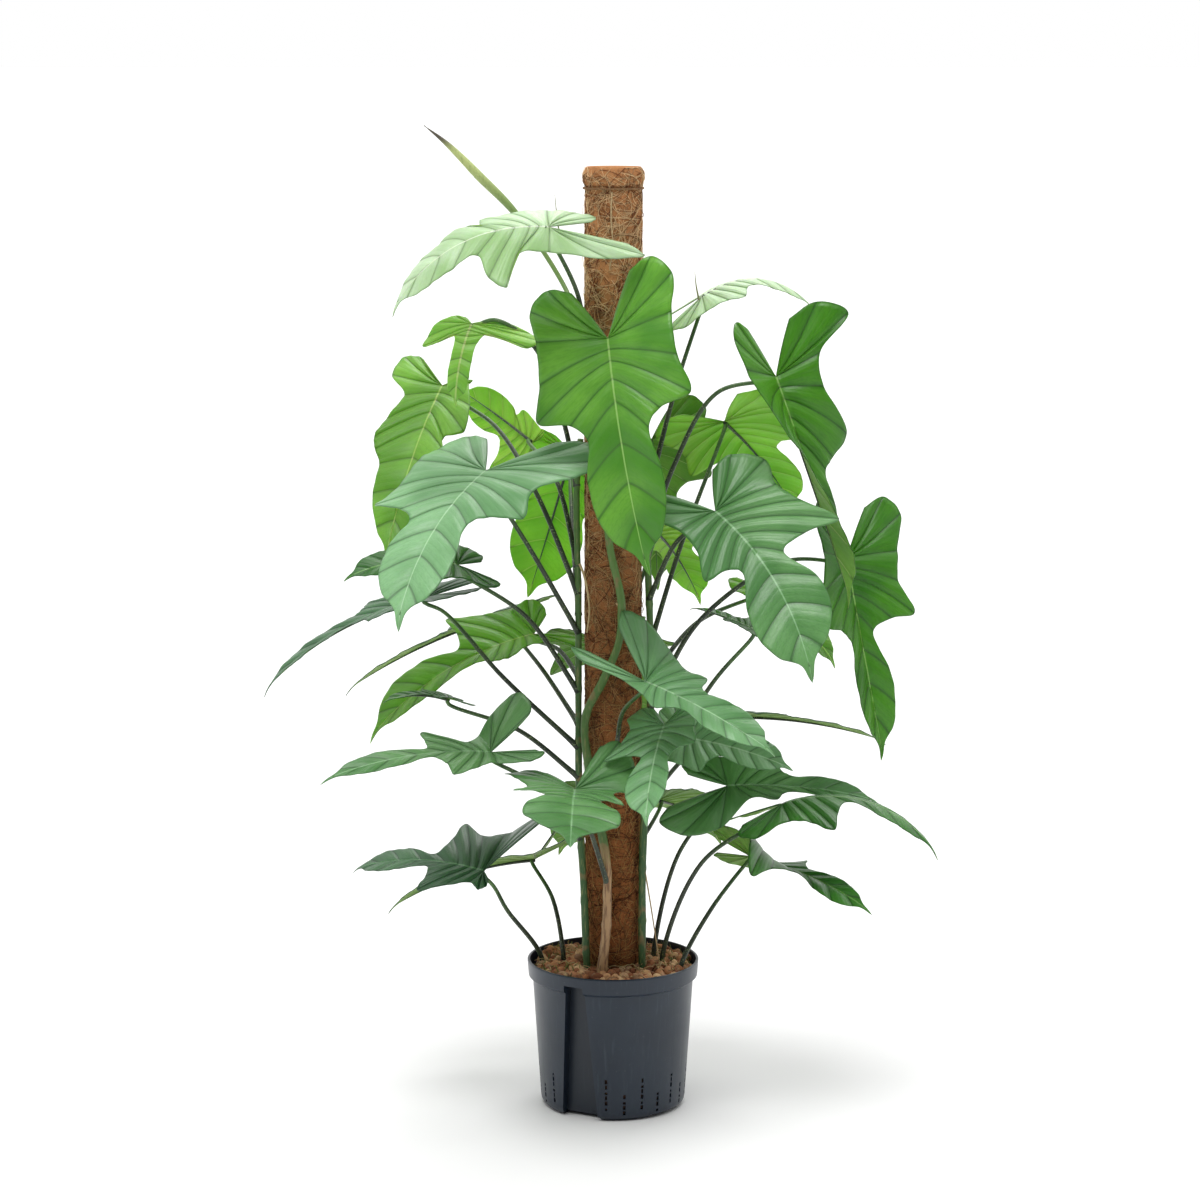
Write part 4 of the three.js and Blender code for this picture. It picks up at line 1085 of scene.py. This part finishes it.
def make_pole():
    """The coir sleeve with its rough skin and rolled top, its fibres, and the cord."""
    random = np.random.default_rng(11)
    sides, rings = POLE_SIDES, POLE_RINGS
    roll_way = (1 + np.cos(np.linspace(0, np.pi, ROLL_RINGS + 1)[1:])) / 2
    straight = np.linspace(8, POLE_TOP - ROLL_HEIGHT, rings - ROLL_RINGS)
    heights = np.concatenate([straight, POLE_TOP - ROLL_HEIGHT * roll_way])[:, None]
    angles = around(sides)
    rough = random.normal(0, 0.32, (rings, sides))
    slow = 0.5 * np.sin(3 * angles + heights / 37) * np.sin(heights / 61)
    lumps = 0.45 * np.sin(11 * angles + heights / 9) * np.sin(heights / 13 + 5 * angles)
    points = circle(pole_radius(heights) + rough + slow + lumps, angles + 0 * heights, heights)
    top = []
    for radius, z in ((26, POLE_TOP - 1.5), (19, POLE_TOP - 3), (8, POLE_TOP - 3.5)):
        rim = radius + random.normal(0, 0.5, sides)
        top.append(circle(rim, angles, z + random.normal(0, 0.5, sides)))
    shape = Shape()
    faces = ring_faces(rings + 3, sides)
    faces.append([(rings + 2) * sides + j for j in range(sides)])
    faces.append(list(range(sides - 1, -1, -1)))
    shape.add(np.concatenate([points.reshape(-1, 3), *top]) * MM, faces)
    mat = coir_material("coir_mat", (192, 134, 86), (98, 54, 33))
    dress(shape.make("pole_coir_look", [mat]), "coir", "pole_coir")
    fibre = coir_material("coir_fibre", (252, 216, 164), (128, 74, 44))
    dress(pole_fibres(random).make("pole_fibres", [fibre]), "coir")
    dress(pole_cord(), "cord", "pole_tie")


def pole_fibres(random):
    """Loose fibres matted over the sleeve, lying all ways but mostly across it."""
    count, length = FIBRES, FIBRE_POINTS
    s = np.linspace(-0.5, 0.5, length)
    long = random.uniform(*FIBRE_LENGTHS, count)
    heading = random.normal(0, 1.0, count)
    curl = random.normal(0, 1.6, count)
    turn = heading[:, None] + curl[:, None] * s
    middle_angle = random.uniform(0, 2 * np.pi, count)
    middle_height = FIBRE_FOOT + 3 + (POLE_TOP - FIBRE_FOOT - 10) * random.uniform(0, 1, count) ** 0.92
    step = long[:, None] / (length - 1)
    round_way = np.cumsum(np.cos(turn) * step, axis=1)
    up_way = np.cumsum(np.sin(turn) * step, axis=1)
    angle = middle_angle[:, None] + (round_way - round_way[:, 3:4]) / POLE_RADIUS
    height = np.clip(middle_height[:, None] + up_way - up_way[:, 3:4], FIBRE_FOOT, POLE_TOP - 1)
    proud = random.uniform(0.3, 1.5, count)
    proud = np.where(random.uniform(0, 1, count) < 0.05, proud + 2.2, proud)
    radius = pole_radius(height) + 0.1 + proud[:, None] * np.cos(np.pi * s) ** 0.7
    outward = circle(1, angle, 0)
    paths = radius[..., None] * outward
    paths[..., 2] = height
    thick = random.uniform(0.25, 0.55, count)[:, None] * np.ones(length)
    return strands(paths * MM, outward, thick * MM)


def pole_cord():
    """A cord of two twisted strands, tied round the pole under its rolled top."""
    z = POLE_TOP - ROLL_HEIGHT - CORD_DROP
    shape = Shape()
    angles = np.linspace(0, 2 * np.pi, 161)
    for start in (0, np.pi):
        twist = CORD_TURNS * angles + start
        radius = POLE_RADIUS + CORD_OUT + CORD_LAY * np.cos(twist)
        path = circle(radius, angles, z + CORD_LAY * np.sin(twist))
        shape.tube(path * MM, STRAND_RADIUS * MM, 6, ends=False)
    material = strand_material("cord_sisal", rgb(150, 116, 74), rgb(112, 80, 50), 0.85)
    return shape.make("pole_tie_look", [material])


def make_roots():
    """Aerial roots that cling to the pole, and thin roots that wander over the granules."""
    shape = Shape()
    for points, radius in AERIAL_ROOTS:
        path = curve(points, 40)
        taper = np.linspace(1, 0.55, len(path))
        shape.tube(path * MM, radius * taper * MM, 8)
    random = np.random.default_rng(5)
    for _ in range(LOOSE_ROOTS):
        angle = random.uniform(0, 2 * np.pi)
        radius = random.uniform(42, 92)
        heading = random.uniform(0, 2 * np.pi)
        point = np.array([radius * math.cos(angle), radius * math.sin(angle)])
        path = []
        for _ in range(7):
            path.append((*point, SOIL_LEVEL + 7 + random.uniform(-3, 3)))
            heading += random.normal(0, 0.55)
            point = point + ROOT_STEP * np.array([math.cos(heading), math.sin(heading)])
            reach = float(np.linalg.norm(point))
            point = point * min(1.0, ROOT_ROOM[1] / reach) * max(1.0, ROOT_ROOM[0] / reach)
        line = curve(path, 22, 6)
        shape.tube(line * MM, random.uniform(0.35, 0.8) * MM, 5)
    material = strand_material("root", rgb(196, 172, 128), rgb(128, 92, 58), 0.8)
    dress(shape.make("roots", [material]), "stem")


# Pot and granules


def boolean_cut(target, cutter):
    """Cuts one object by another and deletes the cutter."""
    modifier = target.modifiers.new("cut", "BOOLEAN")
    modifier.operation = "DIFFERENCE"
    modifier.solver = "EXACT"
    modifier.object = cutter
    graph = bpy.context.evaluated_depsgraph_get()
    cut = bpy.data.meshes.new_from_object(target.evaluated_get(graph))
    target.modifiers.remove(modifier)
    old = target.data
    target.data = cut
    bpy.data.meshes.remove(old)
    bpy.data.objects.remove(cutter)


def turned(points, degrees):
    """Points turned about the vertical axis, in metres."""
    turn = Euler((0, 0, math.radians(degrees))).to_matrix()
    return [list(turn @ Vector(point) * MM) for point in points]


def add_box(shape, low, high, degrees):
    corners = [(x, y, z) for x in (low[0], high[0]) for y in (low[1], high[1]) for z in (low[2], high[2])]
    shape.add(turned(corners, degrees), BOX_FACES)


def channel_cutter(margin):
    """The recess that takes the water gauge: a wedge wider and deeper at its foot."""
    corners = []
    for side in (-1, 1):
        for back in (False, True):
            for high in (False, True):
                half = (CHANNEL_TOP_WIDTH if high else CHANNEL_FOOT_WIDTH) / 2 + margin
                depth = (CHANNEL_BACK_TOP if high else CHANNEL_BACK_FOOT) - margin
                y = -depth if back else -RIM_RADIUS - 20
                corners.append((side * half, y, CHANNEL_TOP + margin if high else -10))
    shape = Shape()
    shape.add(turned(corners, CHANNEL_TURN), BOX_FACES)
    return shape.make("channel_cutter", [])


def slit_cutter():
    """Columns of small openings, tall and short by turns, some run together."""
    shape = Shape()
    for i in range(SLIT_COLUMNS):
        foot, height = SHORT_COLUMN if i % 2 else TALL_COLUMN
        for j in range(int(height // SLIT_PITCH)):
            low = foot + j * SLIT_PITCH
            opening = SLIT_OPENINGS[(i + j) % 3 > 0]
            width = SLIT_HALF_WIDTHS[(i + 2 * j) % 4 > 0]
            outer = (-width, -BODY_FOOT_RADIUS - SLIT_REACH_OUT, low)
            inner = (width, -BODY_FOOT_RADIUS + SLIT_REACH_IN, low + opening)
            add_box(shape, outer, inner, SLIT_START + i * SLIT_SPACING)
    return shape.make("slit_cutter", [])


def arch_cutter():
    shape = Shape()
    for degrees, width in FOOT_ARCHES:
        outer = (-width / 2, -BASE_RADIUS - ARCH_REACH, -FOOT_HEIGHT)
        inner = (width / 2, -BASE_RADIUS + ARCH_REACH, FOOT_HEIGHT)
        add_box(shape, outer, inner, degrees)
    return shape.make("arch_cutter", [])


def wall_profile(inset):
    """The inside of the wall from the floor up, drawn in by inset."""
    band_foot = POT_HEIGHT - RIM_BAND
    slope = (BODY_TOP_RADIUS - BODY_FOOT_RADIUS) / (band_foot - 12)
    points = []
    for z in (10, 60, 110, band_foot):
        points.append((BODY_FOOT_RADIUS + slope * (z - 10) - WALL - inset, z))
    return points


def make_pot():
    """A turned body, less the room inside, the recess for the gauge, the slits and the arches."""
    band_foot = POT_HEIGHT - RIM_BAND
    outside = [
        (0.5, 0.01), (BASE_RADIUS - 1, 0.01), (BASE_RADIUS, 0.8), (BODY_FOOT_RADIUS - 2.6, 3.2),
        (BODY_FOOT_RADIUS - 0.8, 6.4), (BODY_FOOT_RADIUS, 11), (BODY_TOP_RADIUS - 0.4, band_foot - 3.4),
        (BODY_TOP_RADIUS + 0.2, band_foot - 2.2), (RIM_RADIUS - 2.6, band_foot + 0.2),
        (RIM_RADIUS - 1.6, band_foot + 1.2), (RIM_RADIUS - 1.3, band_foot + 3),
        (RIM_RADIUS - 0.1, POT_HEIGHT - 2.6), (RIM_RADIUS, POT_HEIGHT - 1.4),
        (RIM_RADIUS - 0.4, POT_HEIGHT - 0.4), (RIM_RADIUS - 1.2, POT_HEIGHT),
        (RIM_RADIUS - 2.6, POT_HEIGHT), (RIM_RADIUS - 3.2, POT_HEIGHT - 0.6), (0.5, POT_HEIGHT - 0.6),
    ]
    cavity = [
        (0.5, FLOOR_TOP), (BODY_FOOT_RADIUS - 8, FLOOR_TOP), *wall_profile(0),
        (RIM_RADIUS - 3.6, band_foot + 6), (RIM_RADIUS - 3.2, POT_HEIGHT + 3), (0.5, POT_HEIGHT + 3),
    ]
    body = Shape()
    body.lathe(outside, POT_SIDES)
    pot = body.make("pot_look", [pot_material()])
    room = Shape()
    room.lathe(cavity, POT_SIDES)
    inside = room.make("pot_room", [])
    boolean_cut(inside, channel_cutter(WALL))
    for cutter in (inside, channel_cutter(0), slit_cutter(), arch_cutter()):
        boolean_cut(pot, cutter)
    mesh = pot.data
    mesh.polygons.foreach_set("use_smooth", [True] * len(mesh.polygons))
    mesh.set_sharp_from_angle(angle=math.radians(28))
    dress(pot, "pot_plastic", "pot")


def make_bed():
    """The filling below the top granules, seen through the slits."""
    shape = Shape()
    foot = FLOOR_TOP + BED_GAP
    side, top = RIM_RADIUS - 4.6, SOIL_LEVEL - 6
    profile = [(0.5, foot), (BODY_FOOT_RADIUS - 8, foot), *wall_profile(BED_GAP)]
    shape.lathe([*profile, (side, POT_HEIGHT - 16), (side, top), (0.5, top)], BED_SIDES)
    bed = shape.make("bed_look", [speckled_material("bed", rgb(40, 27, 21), rgb(78, 52, 38), 160, 0.95)])
    boolean_cut(bed, channel_cutter(WALL + BED_GAP))
    dress(bed, "clay_granules", "substrate")


def ball_points(subdivisions):
    ball = bmesh.new()
    bmesh.ops.create_icosphere(ball, subdivisions=subdivisions, radius=1)
    points = np.array([vertex.co[:] for vertex in ball.verts])
    faces = [[vertex.index for vertex in face.verts] for face in ball.faces]
    ball.free()
    return points, faces


def over_channel(x, y, size):
    """Whether a granule here would reach into the wall of the gauge recess."""
    turn = math.radians(-CHANNEL_TURN)
    across = x * math.cos(turn) - y * math.sin(turn)
    outward = -x * math.sin(turn) - y * math.cos(turn)
    return abs(across) < CHANNEL_TOP_WIDTH / 2 + size + 2 and outward > CHANNEL_BACK_TOP - size - 4


def make_granules():
    """Clay granules of several sizes heaped in two layers round the pole."""
    random = np.random.default_rng(3)
    shape = Shape()
    spacing = GRANULE_SPACING
    for layer, (level, subdivisions) in enumerate(((SOIL_LEVEL + 0.5, 3), (SOIL_LEVEL - 6, 2))):
        points, faces = ball_points(subdivisions)
        steps = int(2 * RIM_RADIUS / spacing) + 1
        for row in range(-steps, steps):
            for column in range(-steps, steps):
                x = (column + 0.5 * (row % 2) + 0.33 * layer) * spacing + random.uniform(-3, 3)
                y = (row + 0.4 * layer) * spacing * 0.87 + random.uniform(-3, 3)
                reach = math.hypot(x, y)
                size = random.uniform(*GRANULE_SIZES)
                stretch = random.uniform(0.78, 1.22, 3)
                level_here = level + random.uniform(-2.2, 2.4)
                turn = np.array(Euler(random.uniform(0, 6.28, 3)).to_matrix())
                outside = reach + size * 0.9 > RIM_RADIUS - RIM_ROOM
                if outside or reach < POLE_RADIUS + 2 or over_channel(x, y, size):
                    continue
                bumps = 1 + 0.09 * np.sin(3.1 * points[:, [0]] + size)
                bumps = bumps + 0.08 * np.sin(4.3 * points[:, [1]] + 2 * size)
                ball = (points * bumps * stretch * size) @ turn.T
                shape.add((ball + (x, y, level_here)) * MM, faces)
    dress(shape.make("granules", [granule_material()]), "clay_granules")


def make_moss():
    """Tufts of moss at the back of the pot."""
    random = np.random.default_rng(9)
    paths, sizes = [], []
    for centre_angle, spread_angle, count in MOSS_TUFTS:
        for _ in range(count):
            angle = random.normal(centre_angle, spread_angle)
            reach = random.uniform(58, 99)
            foot = np.array([reach * math.cos(angle), reach * math.sin(angle), SOIL_LEVEL + 1.5])
            lean = random.normal(0, 1, 3)
            lean[2] = abs(lean[2]) + 0.6
            lean = lean / np.linalg.norm(lean)
            long = random.uniform(4, 11)
            bend = random.normal(0, 0.35, 3)
            s = np.linspace(0, 1, 5)[:, None]
            path = foot + lean * long * s + bend * long * s**2
            room = (RIM_RADIUS - RIM_ROOM) / np.maximum(1, np.linalg.norm(path[:, :2], axis=1))
            path[:, :2] *= np.minimum(1, room)[:, None]
            paths.append(path)
            sizes.append(random.uniform(0.3, 0.8) * np.array([0.6, 1, 1, 0.8, 0.3]))
    paths = np.array(paths)
    outward = np.broadcast_to(np.array([0.2, -0.9, 0.3]), paths.shape)
    shape = strands(paths * MM, outward, np.array(sizes) * MM, 4)
    dress(shape.make("moss", [strand_material("moss", rgb(84, 104, 44), rgb(140, 142, 82), 0.9)]), "stem")


# Stage


def aim(target_object, target):
    direction = Vector(target) - target_object.location
    target_object.rotation_euler = direction.to_track_quat("-Z", "Y").to_euler()


def make_world():
    """A soft sky: bright overhead and behind the plant, dim in front of it."""
    world = bpy.data.worlds.new("studio")
    world.use_nodes = True
    tree = world.node_tree
    direction = tree.nodes.new("ShaderNodeTexCoord").outputs["Generated"]
    facing = tree.nodes.new("ShaderNodeVectorMath")
    facing.operation = "DOT_PRODUCT"
    tree.links.new(direction, facing.inputs[0])
    facing.inputs[1].default_value = SKY_SIDE
    strength = tree.nodes.new("ShaderNodeMapRange")
    strength.interpolation_type = "SMOOTHSTEP"
    tree.links.new(facing.outputs["Value"], strength.inputs[0])
    for socket, value in ((1, -0.55), (2, 0.3), (3, FRONT_LIGHT), (4, BACK_LIGHT)):
        strength.inputs[socket].default_value = value
    background = tree.nodes["Background"]
    background.inputs[0].default_value = (1, 1, 1, 1)
    tree.links.new(strength.outputs[0], background.inputs[1])
    bpy.context.scene.world = world


def make_stage():
    """The floor, the sky and the lamps."""
    make_world()
    bpy.context.scene.view_settings.view_transform = "Standard"
    floor = Shape()
    low, high = FLOOR_FACES
    edge = FLOOR_RADIUS / MM
    floor.lathe([(10, low), (edge, low), (edge, high), (10, high)], FLOOR_SIDES)
    grey = Graph("floor", (0.74, 0.74, 0.74, 1)).finish(Roughness=0.9)
    ground = floor.make("floor", [grey], smooth=False)
    for name, place, angle, strength in SUNS:
        lamp = bpy.data.lights.new(name, "SUN")
        lamp.angle = math.radians(angle)
        lamp.energy = strength
        made = bpy.data.objects.new(name, lamp)
        made.location = place
        bpy.context.scene.collection.objects.link(made)
        aim(made, (0, 0, 0))


def make_camera():
    data = bpy.data.cameras.new("camera")
    data.sensor_width = SENSOR_WIDTH
    data.lens = SENSOR_WIDTH * FOCAL_PIXELS / PHOTO_SIDE
    data.clip_end = 2 * FLOOR_RADIUS
    camera = bpy.data.objects.new("camera", data)
    camera.location = CAMERA_PLACE
    camera.rotation_euler = (math.radians(90 - CAMERA_PITCH), 0, 0)
    bpy.context.scene.collection.objects.link(camera)
    bpy.context.scene.camera = camera


def main():
    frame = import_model()
    make_camera()
    make_stage()
    make_pot()
    make_bed()
    make_granules()
    make_moss()
    make_pole()
    make_roots()
    make_stems()
    make_leaves()
    make_new_leaf()
    make_sheaths()
    pipe = frame["nodes"]["pole_pipe"]
    for slot in pipe.material_slots:
        slot.material = speckled_material("pipe", rgb(140, 146, 148), rgb(126, 132, 134), 220, 0.5)
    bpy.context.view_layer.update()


main()
